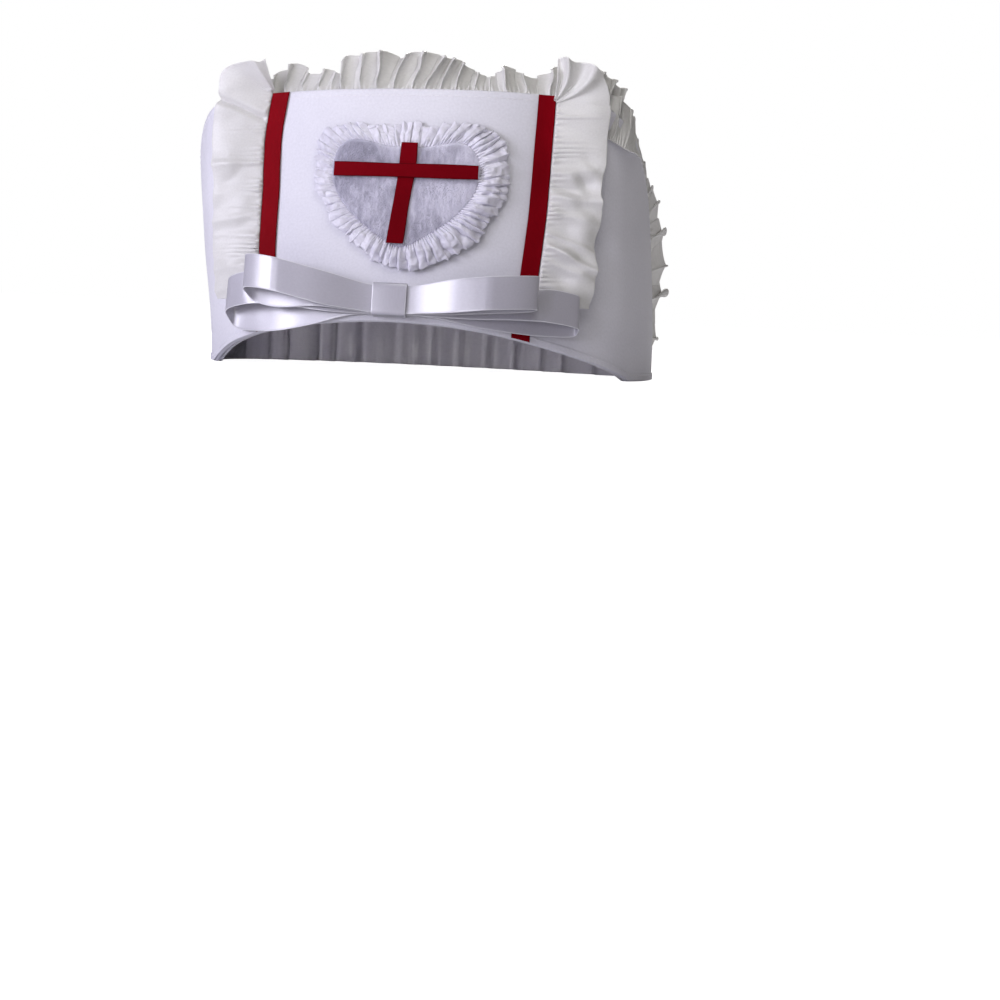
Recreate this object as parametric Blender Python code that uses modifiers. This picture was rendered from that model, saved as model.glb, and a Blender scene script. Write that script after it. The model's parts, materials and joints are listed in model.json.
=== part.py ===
"""A nurse cap of stiffened cotton with ruffles, red ribbon stripes, a plush heart and a satin bow.

The cap stands on the rim that goes round the head.  Its front faces -Y, up is +Z and the
viewer's left is -X.  Every piece of the front is placed by three numbers, as a dressmaker
would chalk it on the cuff: s, the way along the rim from the middle of the front, positive
to +X; z, the height above the table; and off, the distance out from the cuff's outer face.
"""
import math

import bmesh
import bpy
import numpy as np

NAME = "nurse_cap"
GAP = 0.0004

# Plan of the cuff's outer face: a superellipse, squarer in front than behind.
PLAN_STEPS = 2400
HALF_WIDTH = 0.110
DEPTH_FRONT = 0.108
DEPTH_BACK = 0.105
SQUARE_FRONT = 2.4
SQUARE_BACK = 2.1

# The cuff's sides stand out a little further above than at the rim.
FLARE = 0.0045
FLARE_FROM = 0.008
FLARE_TO = 0.100

# Cuff: front height, backward lean of the front, brow arch in the lower edge, how far along the
# rim its corners and wing tips are, and how round the arch and the wings' edges are.
CUFF_WALL = 0.003
FRONT_HEIGHT = 0.1125
FRONT_LEAN = math.radians(9.0)
LEAN_FULL = 0.065
LEAN_NONE = 0.120
ARCH_RISE = 0.024
ARCH_REACH = 0.124
ARCH_ROUND = 1.3
CORNER = 0.072
TOP_DIP = 0.0015
TOP_TILT = 0.030
WING_REACH = 0.212
WING_END = 0.006
WING_FALL = 2.2
WING_ROUND = 0.9

# Crown: soft cloth, rounder above than below, with gathers at the back hem.
CROWN_WALL = 0.002
CROWN_HEIGHT = 0.096
CROWN_SQUARE = 2.6
CROWN_HEM = 0.008
GATHER_DEPTH = 0.0024
GATHERS = 9
GATHER_REACH = 0.126
GATHER_FADE = 0.030
GATHER_WANDER = 0.021
CROWN_ROWS = 8
CROWN_FRONT = 24
CROWN_BACK = 20

# Ruffles: cloth thickness, pitch and depth of the folds, how far the standing strips fall
# outwards, and the sizes of the strips on the upper edge, on the wings and beside the stripes.
RUFFLE_WALL = 0.001
FOLD_PITCH = 0.0125
FOLD_STEPS = 6
FOLD_DEPTH = 0.0042
TALL_RUFFLE = 0.020
RUFFLE_FALLS = (-0.0045, 0.0035)
EDGE_RUFFLE_HEIGHT = (0.016, 0.010)
EDGE_LENGTH = 0.158
EDGE_START = 0.1205
EDGE_END = 0.209
EDGE_FOLDS = 0.8
EDGE_FLARE = (0.05, 0.55)
TOP_SEAM = 0.007
TOP_SPAN = 0.119
SIDE_WIDTH = 0.0275
SIDE_LIFT = 0.0045
SIDE_FOLD_DEPTH = 0.0025
SIDE_ABOVE = 0.002
SIDE_LOW = {"left": 0.0375, "right": 0.0415}

# Red stripes: ribbon width and thickness, and how far they end short of the cuff's edges.
STRIPE_WIDTH = 0.0088
RIBBON_WALL = 0.001
STRIPE_HEM = 0.0006

# Heart: half width and height factor of its outline, how full its sides are and how far its
# notch is filled, the place of its middle, its thickness and crown, and the frill round it.
HEART_HALF_WIDTH = 0.0355
HEART_UNIT = 0.00176
HEART_FULL = 1.42
NOTCH_FILL = 5.4
HEART_S = 0.001
HEART_Z = 0.0893
HEART_WALL = 0.0026
HEART_CROWN = 0.0007
FRILL_WIDTH = 0.0090
FRILL_EXTRA = 0.0065
FRILL_PITCH = 0.0105
FRILL_LIFT = 0.0034
FRILL_FOLD_DEPTH = 0.0021
FRILL_CENTRE = -0.003
WIDEST_TOWARDS = math.radians(-30.0)

# Cross: the middle line and the width of each strip, from the heart's middle.
UPRIGHT_LINE = ((-0.0048, -0.0285), (-0.0022, -0.0120), (0.0010, 0.0075), (0.0010, 0.0190))
UPRIGHT_WIDTH = 0.0080
BAR_LINE = ((-0.0340, 0.0060), (0.0340, 0.0072))
BAR_WIDTH = 0.0068

# Bow: ribbon width, width where it is pinched, the knot's place, size and corners, and how
# much of a loop's reach lies inside the knot.
BOW_WIDTH = 0.016
KNOT_S = -0.0018
KNOT_Z = 0.0335
KNOT_WIDTH = 0.016
KNOT_HEIGHT = 0.0152
KNOT_CORNER = 0.28
PINCHED_WIDTH = 0.0134
IN_KNOT = 0.14

# How high the standing ruffle is, from its seam, along the front upper edge.
TOP_RUFFLE_HEIGHT = (
    # along,  height
    (-0.119, 0.013),
    (-0.085, 0.010),
    (-0.063, 0.017),
    (-0.053, 0.011),
    (-0.041, 0.012),
    (-0.035, 0.020),
    (0.002, 0.021),
    (0.023, 0.018),
    (0.038, 0.009),
    (0.047, 0.015),
    (0.062, 0.010),
    (0.074, 0.018),
    (0.092, 0.021),
    (0.119, 0.017),
)

# Where each red stripe runs: along the rim at its top, middle and foot.
STRIPE_LINES = {
    "left": (-0.0655, -0.0680, -0.0665),
    "right": (0.0680, 0.0665, 0.0640),
}

# The bow's two closed bands.  Reach of the loops from the knot and rise of their ends, left and
# right; how far the back layer lies off the cuff at the knot and how much further at the ends;
# how far the loops swell, where along them the swelling starts, how much of it the upper edge
# keeps, and how far the loops lean back, left and right, in degrees.
BOW_BANDS = {
    "bow_upper": {
        "reach": (0.0625, 0.0640),
        "rise": (0.0065, 0.0048),
        "back": 0.0058,
        "lift": 0.0040,
        "swell": 0.0095,
        "swell_from": 0.16,
        "upper_edge": 0.85,
        "lean": (20.0, 9.0),
    },
    "bow_lower": {
        "reach": (0.0795, 0.0900),
        "rise": (-0.0085, -0.0045),
        "back": 0.0022,
        "lift": 0.0004,
        "swell": 0.0095,
        "swell_from": 0.35,
        "upper_edge": 0.36,
        "lean": (2.0, 2.0),
    },
}
LAYER_SPACE = 0.0016

FINISHES = {
    # name: colour, roughness, sheen
    "cuff_cotton": ((0.75, 0.73, 0.80), 0.80, 0.0),
    "crown_cotton": ((0.75, 0.73, 0.80), 0.85, 0.0),
    "ruffle_satin": ((0.80, 0.80, 0.79), 0.50, 0.2),
    "red_satin": ((0.18, 0.003, 0.006), 0.35, 0.0),
    "short_plush": ((0.52, 0.51, 0.62), 0.95, 0.4),
    "frill_organza": ((0.70, 0.69, 0.78), 0.60, 0.0),
    "bow_satin": ((0.62, 0.61, 0.70), 0.30, 0.0),
}


def plan_table():
    """The half outline of the plan and the distance along it from the middle of the front."""
    turn = np.linspace(0.0, math.pi, PLAN_STEPS + 1)
    front = turn < math.pi / 2
    power = 2.0 / np.where(front, SQUARE_FRONT, SQUARE_BACK)
    depth = np.where(front, DEPTH_FRONT, DEPTH_BACK)
    across = HALF_WIDTH * np.abs(np.sin(turn)) ** power
    back = -depth * np.sign(np.cos(turn)) * np.abs(np.cos(turn)) ** power
    along = np.concatenate(([0.0], np.cumsum(np.hypot(np.diff(across), np.diff(back)))))
    return along, across, back


PLAN_S, PLAN_X, PLAN_Y = plan_table()
HALF_RIM = float(PLAN_S[-1])


def plan_point(s):
    """X and Y of the cuff's outer face at the floor, the way round closed at the back."""
    s = np.mod(s + HALF_RIM, 2.0 * HALF_RIM) - HALF_RIM
    return np.sign(s) * np.interp(np.abs(s), PLAN_S, PLAN_X), np.interp(np.abs(s), PLAN_S, PLAN_Y)


def ease(value, low, high):
    """0 below low, 1 above high, smooth between."""
    u = np.clip((value - low) / (high - low), 0.0, 1.0)
    return u * u * (3.0 - 2.0 * u)


def lean_share(s):
    """1 on the front, which leans back in full, and 0 on the upright sides."""
    return 1.0 - ease(np.abs(s), LEAN_FULL, LEAN_NONE)


def rim_z(s):
    """Height of the lower edge: a brow arch in front, flat on the table beyond it."""
    reach = np.clip(np.abs(s) / ARCH_REACH, 0.0, 1.0)
    return ARCH_RISE * np.cos(reach * math.pi / 2) ** ARCH_ROUND


def top_z(s):
    """Height of the upper edge: nearly level in front, then down each wing to its point.

    It was cut a little higher on the viewer's right than on the left.
    """
    side = np.abs(s)
    level = ARCH_RISE + FRONT_HEIGHT - TOP_DIP * np.minimum(side / CORNER, 1.0) ** 2
    level = level + TOP_TILT * np.clip(s, -CORNER, CORNER)
    fall = np.clip((side - CORNER) / (WING_REACH - CORNER), 0.0, 1.0)
    return WING_END + (level - WING_END) * (1.0 - fall ** WING_FALL) ** WING_ROUND


def cuff_face(s, z):
    """The point of the cuff's outer face at s along the rim and z up: flared sides, leaning front."""
    step = 0.001
    x, y = plan_point(s)
    x_next, y_next = plan_point(s + step)
    x_last, y_last = plan_point(s - step)
    length = np.hypot(x_next - x_last, y_next - y_last)
    flare = FLARE * ease(z, FLARE_FROM, FLARE_TO) * (1.0 - lean_share(s)) / length
    x = x + (y_next - y_last) * flare
    y = y - (x_next - x_last) * flare + math.tan(FRONT_LEAN) * lean_share(s) * z
    return np.stack((x, y, z), -1)


def on_cuff(s, z, off):
    """The point off metres out from the cuff's outer face, square to it, at s and z."""
    step = 0.0005
    along = cuff_face(s + step, z) - cuff_face(s - step, z)
    up = cuff_face(s, z + step) - cuff_face(s, z - step)
    out = np.cross(along, up)
    out = out / np.linalg.norm(out, axis=-1, keepdims=True)
    return cuff_face(s, z) + out * np.asarray(off)[..., None]


def material(name):
    """The cloth finish of this name, made at its first use."""
    colour, roughness, sheen = FINISHES[name]
    finish = bpy.data.materials.get(name) or bpy.data.materials.new(name)
    finish.use_nodes = True
    shader = finish.node_tree.nodes["Principled BSDF"]
    shader.inputs["Base Color"].default_value = (*colour, 1.0)
    shader.inputs["Roughness"].default_value = roughness
    shader.inputs["Metallic"].default_value = 0.0
    shader.inputs["Sheen Weight"].default_value = sheen
    return finish


def cloth(name, columns, rows, place, wall, side, finish):
    """A sheet of cloth: a grid whose points place(a, t) sets, thickened by Solidify.

    a runs from 0 to 1 along the columns and t from 0 to 1 up the rows.  side says where the
    thickness goes: -1 behind the surface, 0 on both sides of it, 1 in front of it.  Edges of
    the grid that meet, as in a band or at a pole, are merged.
    """
    mesh = bpy.data.meshes.new(name)
    shape = bmesh.new()
    bmesh.ops.create_grid(shape, x_segments=columns, y_segments=rows, size=1.0)
    shape.to_mesh(mesh)
    shape.free()
    corners = np.empty(len(mesh.vertices) * 3)
    mesh.vertices.foreach_get("co", corners)
    grid = (corners.reshape(-1, 3) + 1.0) / 2.0
    mesh.vertices.foreach_set("co", place(grid[:, 0], grid[:, 1]).ravel())
    shape = bmesh.new()
    shape.from_mesh(mesh)
    bmesh.ops.remove_doubles(shape, verts=shape.verts, dist=0.00001)
    shape.to_mesh(mesh)
    shape.free()
    mesh.shade_smooth()
    mesh.materials.append(material(finish))
    piece = bpy.data.objects.new(name, mesh)
    thick = piece.modifiers.new("Cloth thickness", "SOLIDIFY")
    thick.thickness = wall
    thick.offset = side
    thick.use_even_offset = False
    thick.use_rim = True
    PARTS.objects.link(piece)
    piece.parent = ORIGIN
    return piece


def folds(distance, pitch, shift):
    """Uneven folds along a gathered strip: a wave whose phase wanders a little to and fro."""
    slow = 0.9 * np.sin(distance / (3.1 * pitch) + shift)
    quick = 0.5 * np.sin(distance / (1.3 * pitch) + 2.0 * shift)
    return np.sin(2.0 * math.pi * distance / pitch + slow + quick)


def fold_columns(length, pitch):
    """How many columns a gathered strip of this length needs."""
    return int(round(length / pitch)) * FOLD_STEPS


def make_cuff():
    """The stiff front band: its outer face on the plan, its wall inwards."""
    def place(a, t):
        s = (2.0 * a - 1.0) * WING_REACH
        return on_cuff(s, rim_z(s) + (top_z(s) - rim_z(s)) * t, 0.0)

    return cloth("cuff", 48, 5, place, CUFF_WALL, -1.0, "cuff_cotton")


def crown_column(a):
    """Way along the rim of a column of the crown: columns stand close where it is gathered."""
    count = CROWN_FRONT + 2.0 * CROWN_BACK
    edge = HALF_RIM - GATHER_REACH
    table = (0.0, CROWN_BACK / count, (CROWN_BACK + CROWN_FRONT) / count, 1.0)
    return np.interp(a, table, (-HALF_RIM, -edge, edge, HALF_RIM))


def make_crown():
    """The soft crown: a closed-top shell inside the cuff, gathered a little at the back hem."""
    inset = CUFF_WALL + GAP

    def place(a, t):
        s = crown_column(a)
        hem = 1.0 / CROWN_ROWS
        rise = np.clip((t - hem) / (1.0 - hem), 0.0, 1.0) * math.pi / 2
        across = np.where(t > 0.999, 0.0, np.cos(rise) ** (2.0 / CROWN_SQUARE))
        up = np.sin(rise) ** (2.0 / CROWN_SQUARE)
        start = rim_z(s) + CROWN_HEM
        z = np.where(t < hem / 2, rim_z(s), start + (CROWN_HEIGHT - start) * up)
        from_back = HALF_RIM - np.abs(s)
        at_back = ease(GATHER_REACH - from_back, 0.0, GATHER_FADE)
        wander = 1.1 * np.sin(s / GATHER_WANDER)
        wave = 1.0 + np.cos(math.pi * GATHERS * from_back / GATHER_REACH + wander)
        gather = GATHER_DEPTH * at_back * wave * (1.0 - 0.8 * up)
        edge = on_cuff(s, np.zeros_like(s), -inset - gather)
        x = edge[:, 0] * across
        y = edge[:, 1] * across + math.tan(FRONT_LEAN) * lean_share(s) * z * across
        return np.stack((x, y, z), -1)

    columns = CROWN_FRONT + 2 * CROWN_BACK
    return cloth("crown", columns, CROWN_ROWS, place, CROWN_WALL, -1.0, "crown_cotton")


def beside_edge(s, rise, off):
    """The point rise metres beyond the upper edge at s, square to the edge, and off out."""
    step = 0.0005
    fall = (top_z(s - step) - top_z(s + step)) / (2.0 * step)
    turn = np.arctan(fall) * ease(np.abs(s), CORNER, TOP_SPAN)
    return on_cuff(s + rise * np.sin(turn), top_z(s) + rise * np.cos(turn), off)


def make_top_ruffle():
    """The gathered strip that stands behind the front upper edge, sewn to the cuff's back."""
    along, height_there = np.array(TOP_RUFFLE_HEIGHT).T
    inner, outer = RUFFLE_FALLS
    behind = CUFF_WALL + 2.0 * GAP + RUFFLE_WALL / 2

    def place(a, t):
        s = (2.0 * a - 1.0) * TOP_SPAN
        rise = t * (TOP_SEAM + np.interp(s, along, height_there)) - TOP_SEAM
        free = np.clip(rise / TALL_RUFFLE, 0.0, 1.0)
        wave = FOLD_DEPTH * folds(s + TOP_SPAN, FOLD_PITCH, 0.4)
        fallen = inner + (outer - inner) * ease(np.abs(s), CORNER, TOP_SPAN)
        return beside_edge(s, rise, (fallen + wave) * free - behind)

    columns = fold_columns(2.0 * TOP_SPAN, FOLD_PITCH)
    return cloth("top_ruffle", columns, 3, place, RUFFLE_WALL, 0.0, "ruffle_satin")


def make_edge_ruffle(name, way):
    """The strip down a wing's slanting edge: it stands on the edge and flares outwards."""
    upper, lower = EDGE_RUFFLE_HEIGHT
    flare_above, flare_below = EDGE_FLARE

    def place(a, t):
        down = a if way > 0 else 1.0 - a
        s = EDGE_START + (EDGE_END - EDGE_START) * down
        height = upper + (lower - upper) * down
        rise = GAP + t * height
        wave = EDGE_FOLDS * FOLD_DEPTH * folds(down * EDGE_LENGTH, FOLD_PITCH, 1.1) * t * height / upper
        flare = (flare_above + (flare_below - flare_above) * down) * rise * t
        return beside_edge(way * s, rise, flare + wave - CUFF_WALL / 2)

    columns = fold_columns(EDGE_LENGTH, FOLD_PITCH)
    return cloth(name, columns, 2, place, RUFFLE_WALL, 0.0, "ruffle_satin")


def stripe_line(which, z):
    """Where along the rim a red stripe's middle is at height z."""
    top, middle, foot = STRIPE_LINES[which]
    low, high = ARCH_RISE, ARCH_RISE + FRONT_HEIGHT
    return np.interp(z, (low, (low + high) / 2, high), (foot, middle, top))


def make_side_ruffle(name, which, way):
    """The gathered strip beside a red stripe: sewn along it and standing off at its free edge."""
    low = SIDE_LOW[which]
    length = ARCH_RISE + FRONT_HEIGHT + SIDE_ABOVE - low

    def place(a, t):
        z = low + length * t
        across = a if way > 0 else 1.0 - a
        start = stripe_line(which, z) + way * (STRIPE_WIDTH / 2 + GAP)
        width = SIDE_WIDTH * (0.96 + 0.03 * np.sin(z / 0.017) + 0.09 * t ** 2)
        wave = SIDE_FOLD_DEPTH * folds(z, FOLD_PITCH, 2.3 * way) * across ** 0.8
        off = GAP + RUFFLE_WALL / 2 + SIDE_LIFT * across ** 0.7 + wave
        return on_cuff(start + way * width * across, z, off)

    rows = fold_columns(length, FOLD_PITCH)
    return cloth(name, 3, rows, place, RUFFLE_WALL, 0.0, "ruffle_satin")


def make_stripe(name, which):
    """A red ribbon stripe down the front, from the upper edge to the brow."""
    def place(a, t):
        side = (a - 0.5) * STRIPE_WIDTH
        near = stripe_line(which, ARCH_RISE + FRONT_HEIGHT * t) + side
        low = rim_z(near) + STRIPE_HEM
        z = low + (top_z(near) - STRIPE_HEM - low) * t
        return on_cuff(stripe_line(which, z) + side, z, GAP)

    return cloth(name, 3, 9, place, RIBBON_WALL, 1.0, "red_satin")


def heart_outline(turn):
    """The heart's edge, turn in radians from the notch: across and up from its middle."""
    across = HEART_HALF_WIDTH * np.sign(np.sin(turn)) * np.abs(np.sin(turn)) ** HEART_FULL
    lobes = 13.0 * np.cos(turn) - 5.0 * np.cos(2.0 * turn)
    tip = 2.0 * np.cos(3.0 * turn) + np.cos(4.0 * turn)
    fill = NOTCH_FILL * np.clip(np.cos(turn), 0.0, 1.0) ** 8
    return across, HEART_UNIT * (lobes - tip + fill)


def make_heart():
    """The plush heart: a disc stretched to the heart's edge, a little higher in its middle."""
    def place(a, t):
        across, up = heart_outline(2.0 * math.pi * a)
        return on_cuff(HEART_S + across * t, HEART_Z + up * t, GAP + HEART_CROWN * (1.0 - t ** 4))

    return cloth("heart_patch", 40, 3, place, HEART_WALL, 1.0, "short_plush")


def make_frill():
    """The frill round the heart: a gathered ring, wider towards the lower right."""
    turn = np.linspace(0.0, 2.0 * math.pi, 721)
    edge_x, edge_y = heart_outline(turn)
    around = np.concatenate(([0.0], np.cumsum(np.hypot(np.diff(edge_x), np.diff(edge_y)))))
    length = float(around[-1])
    count = int(round(length / FRILL_PITCH))

    def place(a, t):
        edge_u, edge_v = heart_outline(np.interp(a * length, around, turn))
        far = np.hypot(edge_u, edge_v - FRILL_CENTRE)
        out_u, out_v = edge_u / far, (edge_v - FRILL_CENTRE) / far
        towards = 0.5 + 0.5 * (out_u * math.cos(WIDEST_TOWARDS) + out_v * math.sin(WIDEST_TOWARDS))
        reach = 2.0 * GAP + (FRILL_WIDTH + FRILL_EXTRA * towards ** 2) * t
        wave = FRILL_FOLD_DEPTH * np.sin(2.0 * math.pi * count * a) * t ** 0.8
        off = GAP + RUFFLE_WALL / 2 + FRILL_LIFT * t ** 0.6 + wave
        return on_cuff(HEART_S + edge_u + out_u * reach, HEART_Z + edge_v + out_v * reach, off)

    return cloth("heart_frill", count * 5, 2, place, RUFFLE_WALL, 0.0, "frill_organza")


def strip_on_heart(name, line, width, off, across):
    """A strip of ribbon along a bent line of (s, z) points measured from the heart's middle."""
    line_u, line_v = np.array(line).T
    ends = np.linspace(0.0, 1.0, len(line))

    def place(a, t):
        run = a if across else t
        u = np.interp(run, ends, line_u) + (0.0 if across else (a - 0.5) * width)
        v = np.interp(run, ends, line_v) + ((t - 0.5) * width if across else 0.0)
        return on_cuff(HEART_S + u, HEART_Z + v, off)

    columns, rows = (8, 2) if across else (2, 6)
    return cloth(name, columns, rows, place, RIBBON_WALL, 1.0, "red_satin")


def make_cross():
    """Two strips of red ribbon crossing on the heart, the upright one under the bar."""
    lift = GAP + HEART_CROWN + HEART_WALL + GAP
    strip_on_heart("cross_upright", UPRIGHT_LINE, UPRIGHT_WIDTH, lift, False)
    strip_on_heart("cross_bar", BAR_LINE, BAR_WIDTH, lift + RIBBON_WALL + GAP, True)


def make_bow_band(name):
    """A pair of loops as one closed band, pinched at the knot and round at its two ends.

    The band runs to the right end and back to the left end in the plan, and its width is
    turned by the lean, so that its lower edge stands out further than its upper one.
    """
    form = BOW_BANDS[name]

    def place(a, t):
        turn = 2.0 * math.pi * a
        run = np.sign(np.cos(turn)) * np.abs(np.cos(turn)) ** 0.8
        to_front = -np.sign(np.sin(turn)) * np.abs(np.sin(turn)) ** 0.8
        left = run < 0.0
        far = np.abs(run)
        reach = np.where(left, *form["reach"])
        rise = np.where(left, *form["rise"])
        lean = np.radians(np.where(left, *form["lean"])) * ease(far, 0.15, 0.80)
        width = PINCHED_WIDTH + (BOW_WIDTH - PINCHED_WIDTH) * ease(far, 0.16, 0.50)
        up = (t - 0.5) * width
        share = form["upper_edge"] + (1.0 - form["upper_edge"]) * (1.0 - t)
        half = (LAYER_SPACE + form["swell"] * ease(far, form["swell_from"], 0.85) * share) / 2
        back = form["back"] + form["lift"] * ease(far, 0.10, 0.60) + RIBBON_WALL / 2
        out = half * (1.0 + to_front)
        off = back + out * np.cos(lean) - up * np.sin(lean)
        beyond = np.clip((far - IN_KNOT) / (1.0 - IN_KNOT), 0.0, 1.0)
        z = KNOT_Z + rise * beyond ** 1.1 + up * np.cos(lean) + out * np.sin(lean)
        return on_cuff(KNOT_S + run * reach, z, off)

    return cloth(name, 44, 2, place, RIBBON_WALL, 0.0, "bow_satin")


def make_knot():
    """The ribbon wound round the bow's middle: an upright band, flat in front and behind."""
    inner = GAP + RIBBON_WALL
    outer = BOW_BANDS["bow_upper"]["back"] + LAYER_SPACE + RIBBON_WALL + 2.0 * GAP

    def place(a, t):
        turn = -2.0 * math.pi * a
        up = np.sign(np.sin(turn)) * np.abs(np.sin(turn)) ** KNOT_CORNER
        out = np.sign(np.cos(turn)) * np.abs(np.cos(turn)) ** KNOT_CORNER
        off = (inner + outer) / 2 + out * (outer - inner) / 2
        return on_cuff(KNOT_S + (t - 0.5) * KNOT_WIDTH, KNOT_Z + up * KNOT_HEIGHT / 2, off)

    return cloth("bow_knot", 20, 3, place, RIBBON_WALL, 1.0, "bow_satin")


def centre_on_table():
    """Move the cap so that the middle of its box stands over the origin, on the table."""
    graph = bpy.context.evaluated_depsgraph_get()
    low = np.full(3, np.inf)
    high = np.full(3, -np.inf)
    for piece in PARTS.objects:
        if piece.type != "MESH":
            continue
        solid = piece.evaluated_get(graph)
        mesh = solid.to_mesh()
        points = np.empty(len(mesh.vertices) * 3)
        mesh.vertices.foreach_get("co", points)
        points = points.reshape(-1, 3)
        low = np.minimum(low, points.min(axis=0))
        high = np.maximum(high, points.max(axis=0))
        solid.to_mesh_clear()
    ORIGIN.location = (-(low[0] + high[0]) / 2, -(low[1] + high[1]) / 2, -low[2])


for old in list(bpy.data.objects):
    bpy.data.objects.remove(old, do_unlink=True)
PARTS = bpy.data.collections.new(NAME)
bpy.context.scene.collection.children.link(PARTS)
ORIGIN = bpy.data.objects.new("cap_origin", None)
PARTS.objects.link(ORIGIN)

make_cuff()
make_crown()
make_top_ruffle()
make_edge_ruffle("edge_ruffle_left", -1)
make_edge_ruffle("edge_ruffle_right", 1)
make_side_ruffle("side_ruffle_left", "left", -1)
make_side_ruffle("side_ruffle_right", "right", 1)
make_stripe("ribbon_left", "left")
make_stripe("ribbon_right", "right")
make_heart()
make_frill()
make_cross()
make_bow_band("bow_upper")
make_bow_band("bow_lower")
make_knot()
bpy.context.view_layer.update()
centre_on_table()
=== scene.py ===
"""A nurse cap of stiffened cotton with gathered satin ruffles, red ribbon, a plush heart and a bow.

The cap stands on its rim, the front faces -Y and up is +Z.  Every piece of the front is
placed as a dressmaker would chalk it on the cuff: s is the way along the rim from the middle
of the front, positive to +X, z is the height above the table, and off is the distance out
from the cuff's outer face.  All lengths are in metres.
"""
import json
import math

import bpy
import numpy as np
from mathutils import Matrix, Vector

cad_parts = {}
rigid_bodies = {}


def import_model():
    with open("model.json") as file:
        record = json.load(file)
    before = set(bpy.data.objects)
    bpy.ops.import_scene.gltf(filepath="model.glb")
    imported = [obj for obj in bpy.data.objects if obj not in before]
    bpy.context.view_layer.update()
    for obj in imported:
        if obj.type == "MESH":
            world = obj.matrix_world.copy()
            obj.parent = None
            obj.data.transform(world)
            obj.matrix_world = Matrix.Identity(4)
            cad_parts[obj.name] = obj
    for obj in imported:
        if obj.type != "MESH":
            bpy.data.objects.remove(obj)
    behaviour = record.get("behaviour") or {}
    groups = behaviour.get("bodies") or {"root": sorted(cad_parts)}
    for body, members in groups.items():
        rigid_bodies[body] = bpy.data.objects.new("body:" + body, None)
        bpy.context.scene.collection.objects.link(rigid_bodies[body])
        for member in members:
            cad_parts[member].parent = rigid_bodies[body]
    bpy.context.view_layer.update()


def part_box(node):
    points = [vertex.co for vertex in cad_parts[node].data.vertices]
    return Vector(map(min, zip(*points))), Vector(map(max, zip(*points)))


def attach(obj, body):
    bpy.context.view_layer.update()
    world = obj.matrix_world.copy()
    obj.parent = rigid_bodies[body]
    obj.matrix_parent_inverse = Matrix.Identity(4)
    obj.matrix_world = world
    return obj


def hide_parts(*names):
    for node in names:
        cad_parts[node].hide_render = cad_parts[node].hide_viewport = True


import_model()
SCENE = bpy.context.scene
MM = 0.001
TAU = 2.0 * math.pi

# The cuff's plan, its upper and lower edges, and the lean of its front.
PLAN_STEPS = 2400
HALF_WIDTH = 0.110
DEPTH_FRONT = 0.108
DEPTH_BACK = 0.105
SQUARE_FRONT = 2.4
SQUARE_BACK = 2.1
FLARE = 0.0045
FLARE_FROM = 0.008
FLARE_TO = 0.100
CUFF_WALL = 0.003
RIM_HEM = 0.0034
FRONT_HEIGHT = 0.1125
FRONT_LEAN = math.radians(9.0)
LEAN_FULL = 0.065
LEAN_NONE = 0.120
ARCH_RISE = 0.024
ARCH_REACH = 0.124
ARCH_ROUND = 0.92
CORNER = 0.072
TOP_DIP = 0.0015
TOP_TILT = 0.030
WING_REACH = 0.212
WING_END = 0.006
WING_FALL = 2.2
WING_ROUND = 0.9
# How far the foot of each side has eased outwards, left and right.
SPLAY = (-0.0050, 0.0100)
SPLAY_TO = 0.110
BACK_REACH = 0.300
GAP = 0.0004

# Crown.
CROWN_WALL = 0.0012
CROWN_HEIGHT = 0.0955
CROWN_SQUARE = 2.6
CROWN_HEM = 0.008
CROWN_SLOPE = 0.16
GATHER_DEPTH = 0.0030
GATHERS = 15
GATHER_REACH = 0.126
GATHER_FADE = 0.030

# Ruffles of thin satin: the standing strip, the strips on the wings and beside the stripes.
SATIN_WALL = 0.0005
TOP_SPAN = 0.119
TOP_SEAM = 0.005
TALL_RUFFLE = 0.020
TOP_STRIP = 0.023
RUFFLE_FALLS = (-0.0045, 0.0035)
EDGE_START = {"left": 0.1180, "right": 0.1000}
EDGE_END = 0.209
EDGE_LENGTH = 0.158
EDGE_STRIP = 0.013
EDGE_HEIGHT = (0.014, 0.010)
EDGE_FLARE = {"left": (-0.95, 0.30), "right": (-0.95, 0.95)}
CORNER_FALL = {"left": 0.0, "right": 0.0150}
EDGE_PITCH = 0.0135
SIDE_WIDTH = 0.0275
SIDE_LOW = {"left": 0.0315, "right": 0.0345}
SIDE_TOP = ARCH_RISE + FRONT_HEIGHT - 0.004
PUCKER_PITCH = 0.0030

# Sewing thread and its stitches.
STITCH_PITCH = 0.0031
STITCH_LENGTH = 0.0024
THREAD_HALF = 0.00018

# Red ribbon stripes.
STRIPE_WIDTH = {"left": 0.0102, "right": 0.0096}
RIBBON_WALL = 0.0006
STRIPE_HEM = 0.0006
# Each stripe's middle as (height, place along the rim); the left one has a soft kink near the top.
STRIPE_LINES = {
    "left": (
        (0.024, -0.0665), (0.058, -0.0681), (0.085, -0.0681), (0.102, -0.0688),
        (0.112, -0.0691), (0.124, -0.0673), (0.1365, -0.0655),
    ),
    "right": ((0.024, 0.0614), (0.045, 0.0637), (0.080, 0.0665), (0.1365, 0.0680)),
}

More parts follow.
